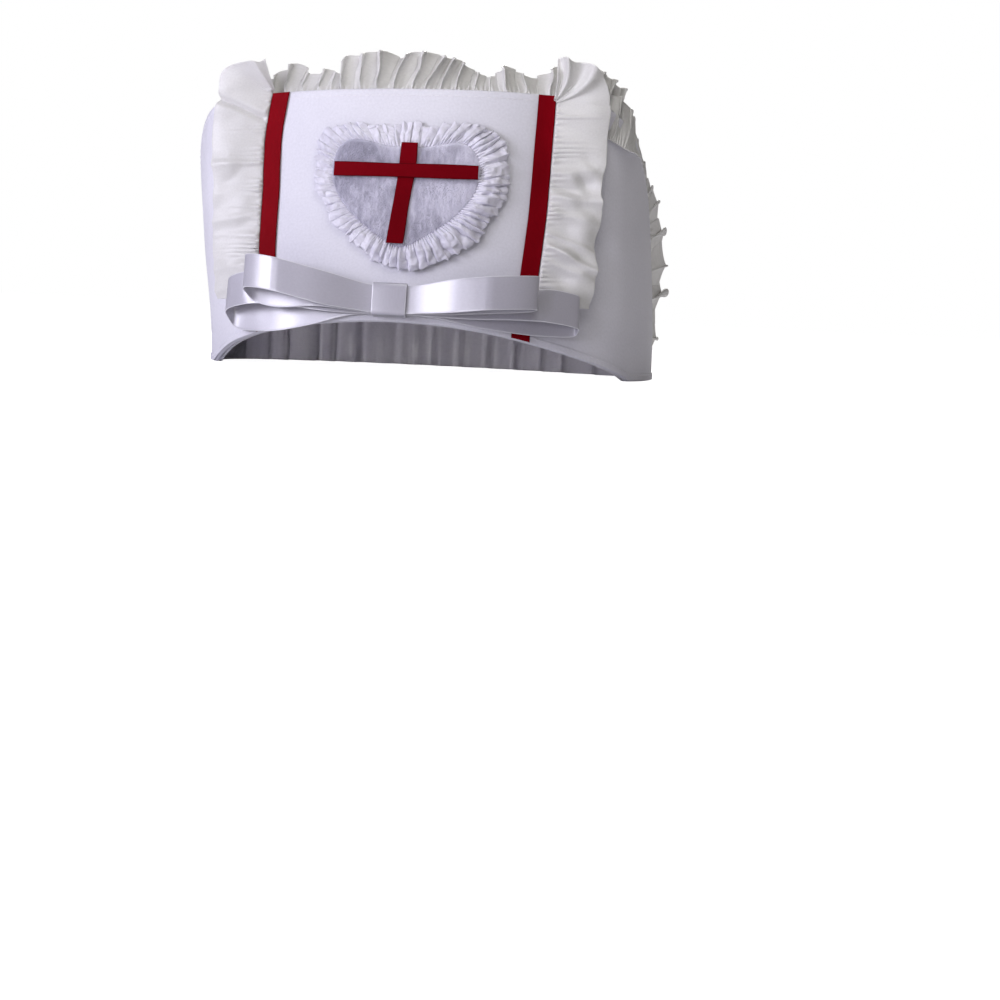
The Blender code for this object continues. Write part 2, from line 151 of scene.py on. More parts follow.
# Plush heart, its frill and the crossed strips of ribbon on it.
HEART_HALF_WIDTH = 0.0355
HEART_UNIT = 0.00176
HEART_FULL = 1.42
NOTCH_FILL = 5.4
HEART_S = 0.001
HEART_Z = 0.0893
HEART_THICK = 0.0026
HEART_RIM = 0.62
PILE_HAIRS = 26000
FRILL_WIDTH = 0.0090
FRILL_EXTRA = 0.0065
FRILL_CENTRE = -0.003
WIDEST_TOWARDS = math.radians(-30.0)
UPRIGHT_LINE = ((-0.0026, -0.0285), (-0.0010, -0.0120), (0.0012, 0.0075), (0.0016, 0.0200))
UPRIGHT_WIDTH = 0.0080
BAR_LINE = ((-0.0336, 0.0060), (0.0344, 0.0068))
BAR_WIDTH = 0.0068

# Bow.
BOW_WIDTH = 0.016
BOW_WALL = 0.0005
CAD_BOW_WALL = 0.001
KNOT_S = -0.0018
KNOT_Z = 0.0335
KNOT_WIDTH = 0.016
KNOT_HEIGHT = 0.0152
KNOT_CORNER = 0.28
PINCHED_WIDTH = 0.0134
IN_KNOT = 0.14
LAYER_SPACE = 0.0016
# Each pair of numbers is for the left loop and the right one, but slip_over is the share of the
# way out over which the layers slip.
BOW_BANDS = {
    "bow_upper": {
        "reach": (0.0625, 0.0636), "rise": (0.0083, 0.0045), "back": 0.0058, "lift": 0.0040,
        "swell": (0.0136, 0.0124), "swell_to": (0.76, 0.68), "upper_edge": 1.0, "closing": (-0.10, 0.0),
        "slip": (0.0091, 0.0003), "slip_over": (0.42, 0.95), "slip_rest": 0.50,
    },
    "bow_lower": {
        "reach": (0.0795, 0.0890), "rise": (-0.0045, -0.0036), "back": 0.0022, "lift": 0.0004,
        "swell": (0.0100, 0.0095), "swell_to": (0.80, 0.80), "upper_edge": 0.60, "closing": (-0.15, 0.0),
        "slip": (0.0140, 0.0066), "slip_over": (0.15, 0.80), "slip_rest": 0.05,
    },
}

# The crests of the standing ruffle in mm: where each leaves the seam, how far it has leaned
# over at the hem and how far it stands forward of the seam there.
TOP_CRESTS = (
    (-124.0, 0.0, 2.0), (-113.0, -1.0, 2.2), (-101.0, 0.0, 2.2), (-89.0, -1.0, 2.0),
    (-73.5, -3.2, 2.6), (-66.8, -0.6, 4.0), (-57.5, 0.0, 1.4), (-47.8, 1.0, 3.0),
    (-41.5, 0.6, 1.4), (-35.0, -0.8, 5.0), (-25.0, -1.6, 3.2), (-16.8, 1.4, 4.8),
    (-8.8, 8.8, 4.0), (0.8, 5.2, 4.2), (7.2, 9.0, 4.6), (15.0, 6.6, 4.0),
    (22.2, 5.2, 4.0), (31.6, 2.6, 1.8), (39.8, 0.0, 1.2), (47.6, -1.2, 4.6),
    (58.5, 0.4, 1.4), (70.0, 2.0, 3.4), (77.8, 4.6, 3.6), (85.0, 5.8, 4.2),
    (94.0, 5.6, 4.0), (104.0, 3.0, 3.6), (113.0, 1.0, 3.0), (124.0, 0.0, 2.6),
)
# The hem's place along the front and its height above the seam in mm, as the gathers hold it
# up or let it fall.
TOP_HEM = (
    (-120.0, 6.0), (-100.0, 5.5), (-85.0, 7.0), (-78.0, 10.0), (-72.5, 14.0), (-66.0, 16.6),
    (-62.5, 15.0), (-58.1, 10.4), (-50.0, 10.8), (-46.5, 12.8), (-39.0, 10.0), (-37.2, 11.2),
    (-35.6, 18.2), (-27.7, 18.4), (-20.0, 20.6), (-12.4, 20.0), (-6.0, 16.8), (-2.0, 18.6),
    (3.0, 20.4), (14.7, 18.4), (24.6, 16.6), (32.0, 12.2), (39.6, 8.2), (44.0, 11.0),
    (47.2, 15.4), (55.0, 12.2), (65.7, 9.6), (70.0, 12.2), (73.5, 16.0), (77.9, 16.4),
    (86.0, 16.8), (93.0, 17.0), (100.0, 16.8), (106.0, 16.0), (120.0, 15.0),
)


def clamp(value):
    """The value held between 0 and 1."""
    return np.clip(value, 0.0, 1.0)


def signed(wave, power):
    """|wave|^power with the sign of the wave."""
    return np.sign(wave) * np.abs(wave) ** power


def plan_table():
    """The half outline of the plan and the distance along it from the middle of the front.

    x = W |sin|^(2/n), y = -D sign(cos) |cos|^(2/n), a superellipse with its own depth and
    squareness in front and behind.
    """
    turn = np.linspace(0.0, math.pi, PLAN_STEPS + 1)
    front = turn < math.pi / 2
    power = 2.0 / np.where(front, SQUARE_FRONT, SQUARE_BACK)
    depth = np.where(front, DEPTH_FRONT, DEPTH_BACK)
    across = HALF_WIDTH * np.abs(np.sin(turn)) ** power
    back = -depth * signed(np.cos(turn), power)
    along = np.concatenate(([0.0], np.cumsum(np.hypot(np.diff(across), np.diff(back)))))
    return along, across, back


PLAN_S, PLAN_X, PLAN_Y = plan_table()
HALF_RIM = float(PLAN_S[-1])


def plan_point(s):
    """X and Y of the cuff's outer face at the table, the way round closed at the back."""
    s = np.mod(s + HALF_RIM, 2.0 * HALF_RIM) - HALF_RIM
    return np.sign(s) * np.interp(np.abs(s), PLAN_S, PLAN_X), np.interp(np.abs(s), PLAN_S, PLAN_Y)


def ease(value, low, high):
    """0 below low, 1 above high, 3u^2 - 2u^3 between."""
    u = clamp((value - low) / (high - low))
    return u * u * (3.0 - 2.0 * u)


def lean_share(s):
    """1 on the front, which leans back in full, and 0 on the upright sides."""
    return 1.0 - ease(np.abs(s), LEAN_FULL, LEAN_NONE)


def rim_z(s):
    """Height of the lower edge: a cosine brow arch in front, flat on the table beyond it."""
    reach = clamp(np.abs(s) / ARCH_REACH)
    return ARCH_RISE * np.cos(reach * math.pi / 2) ** ARCH_ROUND


def top_z(s):
    """Height of the upper edge: nearly level in front, then a round fall down each wing."""
    side = np.abs(s)
    level = ARCH_RISE + FRONT_HEIGHT - TOP_DIP * np.minimum(side / CORNER, 1.0) ** 2
    level = level + TOP_TILT * np.clip(s, -CORNER, CORNER)
    fall = clamp((side - CORNER) / (WING_REACH - CORNER))
    return WING_END + (level - WING_END) * (1.0 - fall ** WING_FALL) ** WING_ROUND


def splay(s, z):
    """How far a side's foot stands out: nothing in front, above SPLAY_TO or behind the wings."""
    high = 1.0 - ease(z, 0.0, SPLAY_TO)
    behind = 1.0 - ease(np.abs(s), WING_REACH, BACK_REACH)
    return np.where(s < 0.0, *SPLAY) * high * (1.0 - lean_share(s)) * behind


def cuff_face(s, z):
    """The point of the cuff's outer face at s and z: the plan, flared at the sides, leaning in front."""
    step = 0.001
    x, y = plan_point(s)
    x_next, y_next = plan_point(s + step)
    x_last, y_last = plan_point(s - step)
    length = np.hypot(x_next - x_last, y_next - y_last)
    flare = (FLARE * ease(z, FLARE_FROM, FLARE_TO) * (1.0 - lean_share(s)) + splay(s, z)) / length
    x = x + (y_next - y_last) * flare
    y = y - (x_next - x_last) * flare + math.tan(FRONT_LEAN) * lean_share(s) * z
    return np.stack((x, y, z), -1)


def cad_shift():
    """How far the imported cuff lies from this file's own: both have the rim's middle foremost."""
    middle = np.zeros(1)
    front = cuff_face(middle, rim_z(middle))[0, 1]
    return np.array((0.0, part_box("cuff")[0][1] - front, 0.0))


SHIFT = cad_shift()


def unit(vectors):
    """The same directions with length 1."""
    return vectors / np.maximum(np.linalg.norm(vectors, axis=-1, keepdims=True), 1e-12)


def on_cuff(s, z, off):
    """The point off metres out from the cuff's outer face, square to it, at s and z."""
    step = 0.0005
    along = cuff_face(s + step, z) - cuff_face(s - step, z)
    up = cuff_face(s, z + step) - cuff_face(s, z - step)
    return cuff_face(s, z) + unit(np.cross(along, up)) * np.asarray(off)[..., None] + SHIFT


def beside_edge(s, rise, off):
    """The point rise metres beyond the upper edge at s, square to the edge, and off out."""
    step = 0.0005
    fall = (top_z(s - step) - top_z(s + step)) / (2.0 * step)
    turn = np.arctan(fall) * ease(np.abs(s), CORNER, TOP_SPAN)
    return on_cuff(s + rise * np.sin(turn), top_z(s) + rise * np.cos(turn), off)


def wander(x, pitch, seed):
    """A smooth chance line between -1 and 1: random values pitch apart, eased from one to the next."""
    values = np.random.default_rng(seed).uniform(-1.0, 1.0, 512)
    place = np.asarray(x) / pitch + 256.0
    first = np.floor(place).astype(int)
    part = ease(place - first, 0.0, 1.0)
    return values[first % 512] * (1.0 - part) + values[(first + 1) % 512] * part


def hills(x, y, pitch, seed):
    """A smooth chance surface between -1 and 1: random heights on a square net, eased between."""
    values = np.random.default_rng(seed).uniform(-1.0, 1.0, (128, 128))
    u = np.asarray(x) / pitch + 64.0
    v = np.asarray(y) / pitch + 64.0
    i, j = np.floor(u).astype(int), np.floor(v).astype(int)
    a, b = ease(u - i, 0.0, 1.0), ease(v - j, 0.0, 1.0)
    low = values[i % 128, j % 128] * (1.0 - a) + values[(i + 1) % 128, j % 128] * a
    high = values[i % 128, (j + 1) % 128] * (1.0 - a) + values[(i + 1) % 128, (j + 1) % 128] * a
    return low * (1.0 - b) + high * b


def edge_spaced(count, edge, first=True):
    """Even steps from 0 to 1 with a round lead-in at the ends, and the wall's share at each.

    edge is half the wall as a share of the way.  Over it the share rises as a quarter circle.
    """
    turn = np.linspace(0.0, math.pi / 2, 4)
    lead = edge * (1.0 - np.cos(turn))
    ends = np.sin(turn)
    middle = np.linspace(edge, 1.0 - edge, count + 1)[1:-1]
    if not first:
        middle = np.linspace(0.0, 1.0 - edge, count + 1)[:-1]
        steps = np.concatenate((middle, 1.0 - lead[::-1]))
        return steps, np.concatenate((np.ones(count), ends[::-1]))
    steps = np.concatenate((lead, middle, 1.0 - lead[::-1]))
    return steps, np.concatenate((ends, np.ones(count - 1), ends[::-1]))


def make_object(name, points, faces, finish, corner_uv=None, edge_mm=None):
    """A smooth mesh object from arrays of points and of faces with equally many corners."""
    mesh = bpy.data.meshes.new(name)
    mesh.vertices.add(len(points))
    mesh.vertices.foreach_set("co", np.ascontiguousarray(points, np.float32).ravel())
    mesh.loops.add(faces.size)
    mesh.loops.foreach_set("vertex_index", np.ascontiguousarray(faces, np.int32).ravel())
    mesh.polygons.add(len(faces))
    mesh.polygons.foreach_set("loop_start", np.arange(0, faces.size, faces.shape[1], dtype=np.int32))
    mesh.update(calc_edges=True)
    if corner_uv is not None:
        layer = mesh.uv_layers.new(name="cloth")
        layer.data.foreach_set("uv", np.ascontiguousarray(corner_uv, np.float32).ravel())
    if edge_mm is not None:
        attribute = mesh.attributes.new("edge_mm", "FLOAT", "POINT")
        attribute.data.foreach_set("value", np.ascontiguousarray(edge_mm, np.float32).ravel())
    mesh.validate()
    mesh.shade_smooth()
    mesh.materials.append(finish)
    piece = bpy.data.objects.new(name, mesh)
    SCENE.collection.objects.link(piece)
    return piece


def cloth(
    name, place, columns, rows, size, wall, finish, closed=False, pole=False, thick=None, flat_uv=None,
):
    """A piece of cloth with two faces and round edges.

    place(a, t) gives the points of its middle surface, a along it and t across it, 0 to 1.
    Each face lies half the wall from it along the surface's normal, the cross product of the
    two directions, and at a free edge they draw together as a half circle.  closed joins the
    ends of a, pole closes t = 0 to a point, and thick(a, t) scales the wall.
    """
    length, width = size
    step = 0.0004
    a, share_a = edge_spaced(columns, wall / 2 / length)
    a_next = a
    if closed:
        a, share_a = np.arange(columns) / columns, np.ones(columns)
        a_next = np.append(a, 1.0)
    t, share_t = edge_spaced(rows, wall / 2 / width, first=not pole)
    along, across = np.meshgrid(a, t)
    low_a, high_a = along - step, along + step
    if not closed:
        low_a, high_a = np.maximum(low_a, 0.0), np.minimum(high_a, 1.0)
    low_t = np.maximum(across - step, 0.0)
    high_t = np.minimum(np.maximum(across, step) + step, 1.0)
    middle = place(along, across)
    normal_t = np.maximum(across, 0.01) if pole else across
    way_a = place(high_a, normal_t) - place(low_a, normal_t)
    out = unit(np.cross(way_a, place(along, high_t) - place(along, low_t)))
    if pole:
        out[0] = unit(out[0].mean(axis=0))
    half = wall / 2 * share_t[:, None] * share_a[None, :]
    if thick is not None:
        half = half * thick(along, across)
    front = (middle + out * half[..., None]).reshape(-1, 3)
    back = (middle - out * half[..., None]).reshape(-1, 3)
    count_t, count_a = along.shape
    face = np.arange(count_t * count_a).reshape(count_t, count_a)
    own = np.ones((count_t, count_a), bool)
    own[-1] = False
    if not pole:
        own[0] = False
    if not closed:
        own[:, 0] = False
        own[:, -1] = False
    behind = face.copy()
    behind[own] = count_t * count_a + np.arange(own.sum())
    points = np.concatenate((front, back[own.ravel()]))
    if closed:
        face = np.concatenate((face, face[:, :1]), axis=1)
        behind = np.concatenate((behind, behind[:, :1]), axis=1)

    def quads(net, turned):
        corners = (net[:-1, :-1], net[:-1, 1:], net[1:, 1:], net[1:, :-1])
        return np.stack(corners[::-1] if turned else corners, 2).reshape(-1, 4, *net.shape[2:])

    u, v = np.meshgrid(a_next * length, t * width)
    if flat_uv is not None:
        u, v = flat_uv(np.meshgrid(a_next, t))
    spots = np.stack((u, v), -1)
    faces = np.concatenate((quads(face, False), quads(behind, True)))
    uv = np.concatenate((quads(spots, False), quads(spots, True)))
    from_edge = (0.5 - np.abs(across - 0.5)) * width / MM
    edge_mm = np.concatenate((from_edge.ravel(), from_edge[own]))
    piece = make_object(name, points, faces, finish, uv, edge_mm)
    if pole:
        # The points of the pole lie on one another.
        weld = piece.modifiers.new("Pole", "WELD")
        weld.merge_threshold = 0.001 * MM
    return piece


def colour(code):
    """An sRGB hex colour as linear red, green, blue and alpha."""
    value = np.array([int(code[i:i + 2], 16) for i in (1, 3, 5)]) / 255.0
    linear = np.where(value <= 0.04045, value / 12.92, ((value + 0.055) / 1.055) ** 2.4)
    return (*linear.tolist(), 1.0)


def set_inputs(node, inputs):
    """Give a node's inputs their values, or link them where the value is a socket."""
    for name, value in inputs.items():
        if isinstance(value, bpy.types.NodeSocket):
            node.id_data.links.new(value, node.inputs[name])
        else:
            node.inputs[name].default_value = value


def add_node(tree, kind, inputs=None, **settings):
    """A shader node with its settings; an input is a value, or a socket to link from."""
    made = tree.nodes.new("ShaderNode" + kind)
    for name, value in settings.items():
        setattr(made, name, value)
    set_inputs(made, inputs or {})
    return made


def blank_material(name):
    """A new material with an empty node tree, its Principled shader and its output."""
    finish = bpy.data.materials.new(name)
    finish.use_nodes = True
    tree = finish.node_tree
    tree.nodes.clear()
    shader = add_node(tree, "BsdfPrincipled")
    add_node(tree, "OutputMaterial", {"Surface": shader.outputs["BSDF"]})
    return finish, tree, shader


def woven(
    name, base, shade, thread, weave, weave_depth, crease, crease_depth, roughness, sheen, selvage=None,
    gloss="#ffffff", through=0.0, shine=0.5, glow=0.5 * MM, coat=0.0,
):
    """A woven cloth.

    thread is the weave's pitch, weave its kind: plain, twill or ribbed.  crease is the size of
    its fine crumples and the depths say how far both stand up.  The colour drifts between base
    and shade, and selvage gives the woven edge of a ribbon: its colour and width in mm.  through
    is the share of light that soaks into the cloth, and glow how far it spreads there.  shine
    is the strength of its gloss, gloss the tone of that, and coat the share of a second, clear one.
    """
    finish, tree, shader = blank_material(name)
    spots = add_node(tree, "UVMap", uv_map="cloth").outputs["UV"]
    place = add_node(tree, "TexCoord").outputs["Object"]
    weft = {"Vector": spots, "Scale": math.pi / 10.0 / thread}
    warp = add_node(tree, "TexWave", weft, bands_direction="X").outputs["Fac"]
    if weave != "ribbed":
        across = add_node(tree, "TexWave", weft, bands_direction="DIAGONAL" if weave == "twill" else "Y")
        crossed = add_node(tree, "Math", {0: warp, 1: across.outputs["Fac"]}, operation="MULTIPLY")
        warp = crossed.outputs["Value"]
    drift = add_node(tree, "TexNoise", {"Vector": place, "Scale": 22.0, "Detail": 3.0}).outputs["Fac"]
    fleck = add_node(tree, "TexNoise", {"Vector": spots, "Scale": 0.5 / thread, "Detail": 2.0})
    share = add_node(tree, "MapRange", {"Value": drift, "From Min": 0.35, "From Max": 0.68})
    pair = {0: share.outputs["Result"], 6: colour(base), 7: colour(shade)}
    tint = add_node(tree, "Mix", pair, data_type="RGBA")
    span = {"From Min": 0.2, "From Max": 0.8, "To Min": 0.94, "To Max": 1.04}
    speck = add_node(tree, "MapRange", {"Value": fleck.outputs["Fac"], **span}).outputs["Result"]
    flecked = add_node(tree, "VectorMath", {0: tint.outputs[2], 1: speck}, operation="MULTIPLY")
    paint = flecked.outputs["Vector"]
    if selvage:
        edge_code, width = selvage
        edge = add_node(tree, "Attribute", attribute_name="edge_mm").outputs["Fac"]
        inside = add_node(tree, "MapRange", {"Value": edge, "From Min": width * 0.6, "From Max": width})
        pair = {0: inside.outputs["Result"], 6: colour(edge_code), 7: paint}
        paint = add_node(tree, "Mix", pair, data_type="RGBA").outputs[2]
    crumple = add_node(
        tree, "TexNoise", {"Vector": place, "Scale": 1.0 / crease, "Detail": 4.0, "Roughness": 0.55},
    ).outputs["Fac"]
    coarse = add_node(tree, "Bump", {"Height": crumple, "Distance": crease_depth, "Strength": 1.0})
    fine = add_node(
        tree, "Bump",
        {"Height": warp, "Distance": weave_depth, "Strength": 1.0, "Normal": coarse.outputs["Normal"]},
    )
    set_inputs(shader, {
        "Base Color": paint,
        "Normal": fine.outputs["Normal"],
        "Roughness": roughness,
        "Specular Tint": colour(gloss),
        "Specular IOR Level": shine,
        "Coat Weight": coat,
        "Coat Roughness": roughness,
        "Subsurface Weight": through,
        "Subsurface Radius": (1.0, 1.0, 1.0),
        "Subsurface Scale": glow,
        "Sheen Weight": sheen,
        "Sheen Roughness": 0.4,
    })
    return finish


# The threads of all these cloths are drawn about twice as coarse as the real ones, so that they
# show.
# Cotton twill stiffened with starch: matt, faintly lilac white, the twill line just visible.
CUFF_COTTON = woven(
    "starched_cotton_twill", "#e2e1ea", "#dbdae4", 0.6 * MM, "twill", 0.012 * MM, 30 * MM, 0.25 * MM,
    0.8, 0.1,
)
# Soft plain-woven cotton: matt, with small crumples.
CROWN_COTTON = woven(
    "plain_cotton", "#eceaf0", "#e4e2e9", 0.6 * MM, "plain", 0.04 * MM, 12 * MM, 0.7 * MM, 0.85, 0.15,
    through=0.9, glow=2.0 * MM,
)
# Thin polyester satin of the ruffles: soft dull gloss on the folds, neutral white.
RUFFLE_SATIN = woven(
    "ruffle_satin", "#dedddc", "#d4d3d2", 0.5 * MM, "plain", 0.006 * MM, 9 * MM, 0.3 * MM, 0.40, 0.2,
    through=0.6,
)
# Red polyester satin ribbon: deep blood red with a low gloss of its own colour, as dyed thread
# has, fine ribs across it and a tight selvage.
RED_SATIN = woven(
    "red_satin_ribbon", "#860514", "#740410", 0.5 * MM, "ribbed", 0.02 * MM, 9 * MM, 0.15 * MM, 0.5, 0.0,
    selvage=("#64040e", 0.5), gloss="#a81c26", shine=0.35,
)
# The cross is cut from duller, darker red ribbon than the stripes.
CROSS_RED = woven(
    "dull_red_ribbon", "#700410", "#64030d", 0.5 * MM, "ribbed", 0.02 * MM, 9 * MM, 0.15 * MM, 0.6, 0.0,
    selvage=("#58030c", 0.5), gloss="#8c141c",
)
# White double-faced satin ribbon of the bow: smooth, clear gloss, thin bright selvages.
BOW_SATIN = woven(
    "white_satin_ribbon", "#bcbac5", "#b5b3bf", 0.5 * MM, "ribbed", 0.004 * MM, 26 * MM, 0.2 * MM, 0.30, 0.0,
    selvage=("#dddce4", 0.45), shine=1.0, coat=0.6,
)
# Crimped organza of the heart's frill: thin, shining a little on each crimp.
ORGANZA = woven(
    "crimped_organza", "#dfdde8", "#d2d0de", 0.5 * MM, "plain", 0.02 * MM, 1.6 * MM, 0.2 * MM, 0.34, 0.3,
    through=0.5,
)
# Spun polyester sewing thread, white, matt.
THREAD = woven(
    "sewing_thread", "#f1f0f6", "#e4e3ea", 0.3 * MM, "ribbed", 0.02 * MM, 3 * MM, 0.02 * MM, 0.6, 0.1,
)


def plush_finish():
    """Short-pile polyester plush: matt grey lilac, streaked where the pile lies different ways, with painted
    shade across it: darker at its left, lighter towards its right.
    """
    finish, tree, shader = blank_material("short_pile_plush_painted_shade")
    place = add_node(tree, "TexCoord").outputs["Object"]
    lying = add_node(tree, "Mapping", {"Vector": place, "Scale": (1.0, 1.0, 0.32)}).outputs["Vector"]
    streaks = add_node(tree, "TexNoise", {"Vector": lying, "Scale": 420.0, "Detail": 5.0}).outputs["Fac"]
    patches = add_node(tree, "TexNoise", {"Vector": place, "Scale": 75.0, "Detail": 2.0}).outputs["Fac"]
    both = add_node(tree, "Math", {0: streaks, 1: patches}, operation="ADD").outputs["Value"]
    # Painted shade: the X place is added in, so the plush is drawn darker at its left and lighter towards
    # its right.
    across = add_node(tree, "SeparateXYZ", {"Vector": place}).outputs["X"]
    both = add_node(tree, "Math", {0: across, 1: 8.0, 2: both}, operation="MULTIPLY_ADD").outputs["Value"]
    share = add_node(tree, "MapRange", {"Value": both, "From Min": 0.75, "From Max": 1.25}).outputs["Result"]
    tint = add_node(tree, "Mix", {0: share, 6: colour("#adabbd"), 7: colour("#dcdae9")}, data_type="RGBA")
    bump = add_node(tree, "Bump", {"Height": streaks, "Distance": 0.5 * MM, "Strength": 1.0})
    set_inputs(shader, {
        "Base Color": tint.outputs[2],
        "Normal": bump.outputs["Normal"],
        "Roughness": 0.9,
        "Sheen Weight": 0.4,
        "Sheen Roughness": 0.5,
    })
    return finish


PLUSH = plush_finish()


def settle(piece, slot, *nodes):
    """The piece rides on the cap and stands for these solids, which it hides; slot is not used."""
    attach(piece, "root")
    if nodes:
        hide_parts(*nodes)


def make_cuff():
    """The stiff front band: a wall 3 mm thick whose middle surface lies half of that inside the plan.

    Its face bows in and out by a few tenths of a millimetre, as starched cloth does.
    """
    def place(a, t):
        s = (2.0 * a - 1.0) * WING_REACH
        z = rim_z(s) + (top_z(s) - rim_z(s)) * t
        free = ease(np.abs(s), 0.085, 0.130) * 0.0006
        bow = hills(s, z, 0.045, 11) * (0.00025 + free)
        return on_cuff(s, z, -CUFF_WALL / 2 + bow * np.sin(math.pi * clamp(t)))

    piece = cloth("cuff_twill", place, 320, 72, (2.0 * WING_REACH, FRONT_HEIGHT), CUFF_WALL, CUFF_COTTON)
    settle(piece, "cuff_cotton", "cuff")


def make_rim_hem():
    """The cuff's lower edge folded over on the face: a thin strip along the rim."""
    def place(a, t):
        s = (2.0 * a - 1.0) * (WING_REACH - 0.001)
        return on_cuff(s, rim_z(s) + 0.0004 + RIM_HEM * t, 0.0002 + 0.0001 * np.sin(s / 0.004))

    length = 2.0 * WING_REACH
    piece = cloth("rim_hem", place, 360, 4, (length, RIM_HEM), 0.0005, CUFF_COTTON)
    settle(piece, "cuff_cotton")


def make_crown():
    """The soft crown: a superellipse dome inside the cuff, drawn in by gathers at the back hem.

    Radius falls as cos^(2/n) and height rises as sin^(2/n) of the same angle.
    """
    inset = CUFF_WALL + GAP
    hem = 0.09

    def place(a, t):
        s = (2.0 * a - 1.0) * HALF_RIM
        from_top = clamp(t)
        down = 1.0 - from_top
        rise = clamp((down - hem) / (1.0 - hem)) * math.pi / 2
        across = np.abs(np.cos(rise)) ** (2.0 / CROWN_SQUARE)
        across = np.where(from_top <= 0.0, 0.0, across)
        up = np.sin(rise) ** (2.0 / CROWN_SQUARE)
        start = rim_z(s) + CROWN_HEM
        low = rim_z(s) + CROWN_HEM * clamp(down / hem)
        z = np.where(down < hem, low, start + (CROWN_HEIGHT - start) * up)
        from_back = HALF_RIM - np.abs(s)
        at_back = ease(GATHER_REACH - from_back, 0.0, GATHER_FADE)
        phase = math.pi * GATHERS * from_back / GATHER_REACH + 1.4 * wander(s, 0.017, 5)
        large = GATHER_DEPTH * at_back * (1.0 + np.cos(phase)) * (1.0 - up) ** 0.8
        small = 0.0007 * at_back * np.sin(TAU * s / 0.0042) * np.exp(-np.abs(z - start) / 0.008)
        soft = 0.0012 * hills(s, z, 0.030, 3) * ease(down, hem, 0.3) * across
        eased = splay(s, z) - splay(s, np.zeros_like(s))
        edge = on_cuff(s, np.zeros_like(s), eased - inset - large - np.abs(small) - np.abs(soft)) - SHIFT
        x = edge[..., 0] * across
        y = edge[..., 1] * across + math.tan(FRONT_LEAN) * lean_share(s) * z * across
        return np.stack((x, y, z), -1) + SHIFT

    piece = cloth(
        "crown_cotton", place, 360, 84, (2.0 * HALF_RIM, CROWN_SLOPE), CROWN_WALL, CROWN_COTTON,
        closed=True, pole=True,
    )
    settle(piece, "crown_cotton", "crown")


def soft_interp(x, table, spread):
    """A table's values between its places, averaged over spread either side to round its corners."""
    places, values = table.T
    steps = np.linspace(-spread, spread, 5)
    return sum(np.interp(x + step, places, values) for step in steps) / len(steps)


def fold_wave(turn, narrow):
    """A wave between -1 and 1 with narrow crests and wide hollows: exp(k (cos - 1)), k = narrow."""
    low = np.exp(-2.0 * narrow)
    return 2.0 * (np.exp(narrow * (np.cos(turn) - 1.0)) - low) / (1.0 - low) - 1.0


def make_top_ruffle():
    """The gathered strip behind the front upper edge.

    Its cross-section is a wave with narrow crests that leans over itself: forward = D c, and
    along = s + lean f - M sin of twice the phase, both growing with the height f above the seam.
    Between the crests small tucks start at the seam and die out half way up.
    """
    along, leans, forwards = np.array(TOP_CRESTS).T * MM
    phases = np.arange(len(along), dtype=float)
    middles = (along[1:] + along[:-1]) / 2
    inner, outer = RUFFLE_FALLS
    behind = CUFF_WALL + 2.0 * GAP + SATIN_WALL

    def place(a, t):
        s = (2.0 * a - 1.0) * TOP_SPAN
        up = clamp(t)
        phase = np.interp(s, along, phases)
        pitch = np.interp(s, middles, np.diff(along))
        lean = np.interp(phase, phases, leans)
        hem = soft_interp(s + lean, MM * np.array(TOP_HEM), 0.0012) + 0.0003 * wander(s, 0.004, 21)
        rise = t * (TOP_SEAM + hem) - TOP_SEAM
        free = clamp(rise / TALL_RUFFLE)
        bend = 0.26 * hills(s, rise, 0.0095, 14) * free ** 0.7
        turn = TAU * (phase + bend)
        turn = turn - 0.55 * (1.0 - np.cos(turn))
        depth = 1.15 * soft_interp(phase, np.stack((phases, forwards), 1), 0.2)
        grown = 0.45 * ease(rise, -0.0015, 0.0050) + 0.55 * free ** 0.8
        wave = depth * (0.80 * fold_wave(turn, 3.6) + 0.20 * np.cos(turn)) * grown
        tuck_turn = 2.0 * turn + 1.6 * wander(s, 0.006, 15)
        tuck = 0.0010 * np.sin(tuck_turn) * ease(rise, -0.001, 0.0030)
        tuck = tuck * np.exp(-np.maximum(rise, 0.0) / 0.0040)
        pucker = 0.0006 * np.sin(TAU * s / 0.0023 + 3.0 * wander(s, 0.006, 4))
        pucker = pucker * np.exp(-np.maximum(rise, 0.0) / 0.0024)
        over = -0.15 * pitch * np.sin(2.0 * turn) * grown
        flop = -0.45 * np.maximum(TALL_RUFFLE - hem, 0.0) * up ** 2
        fallen = (inner + (outer - inner) * ease(np.abs(s), CORNER, TOP_SPAN)) * free
        curl = 0.0010 * hills(s, rise, 0.0060, 8) * free
        level = rise - 0.22 * np.maximum(wave, -0.002) * free
        off = flop + fallen + wave + tuck + pucker + curl - behind
        return beside_edge(s + over + lean * free ** 1.3, level, off)

    piece = cloth(
        "top_ruffle_satin", place, 960, 30, (2.0 * TOP_SPAN, TOP_STRIP), SATIN_WALL, RUFFLE_SATIN,
        thick=hem_thick(TOP_STRIP),
    )
    settle(piece, "ruffle_satin", "top_ruffle")


def hem_thick(width):
    """The wall's scale across a ruffle: doubled over the narrow rolled hem at its free edge."""
    def thick(a, t):
        return 1.0 + 0.9 * ease(t, 1.0 - 0.0017 / width, 1.0 - 0.0012 / width)

    return thick


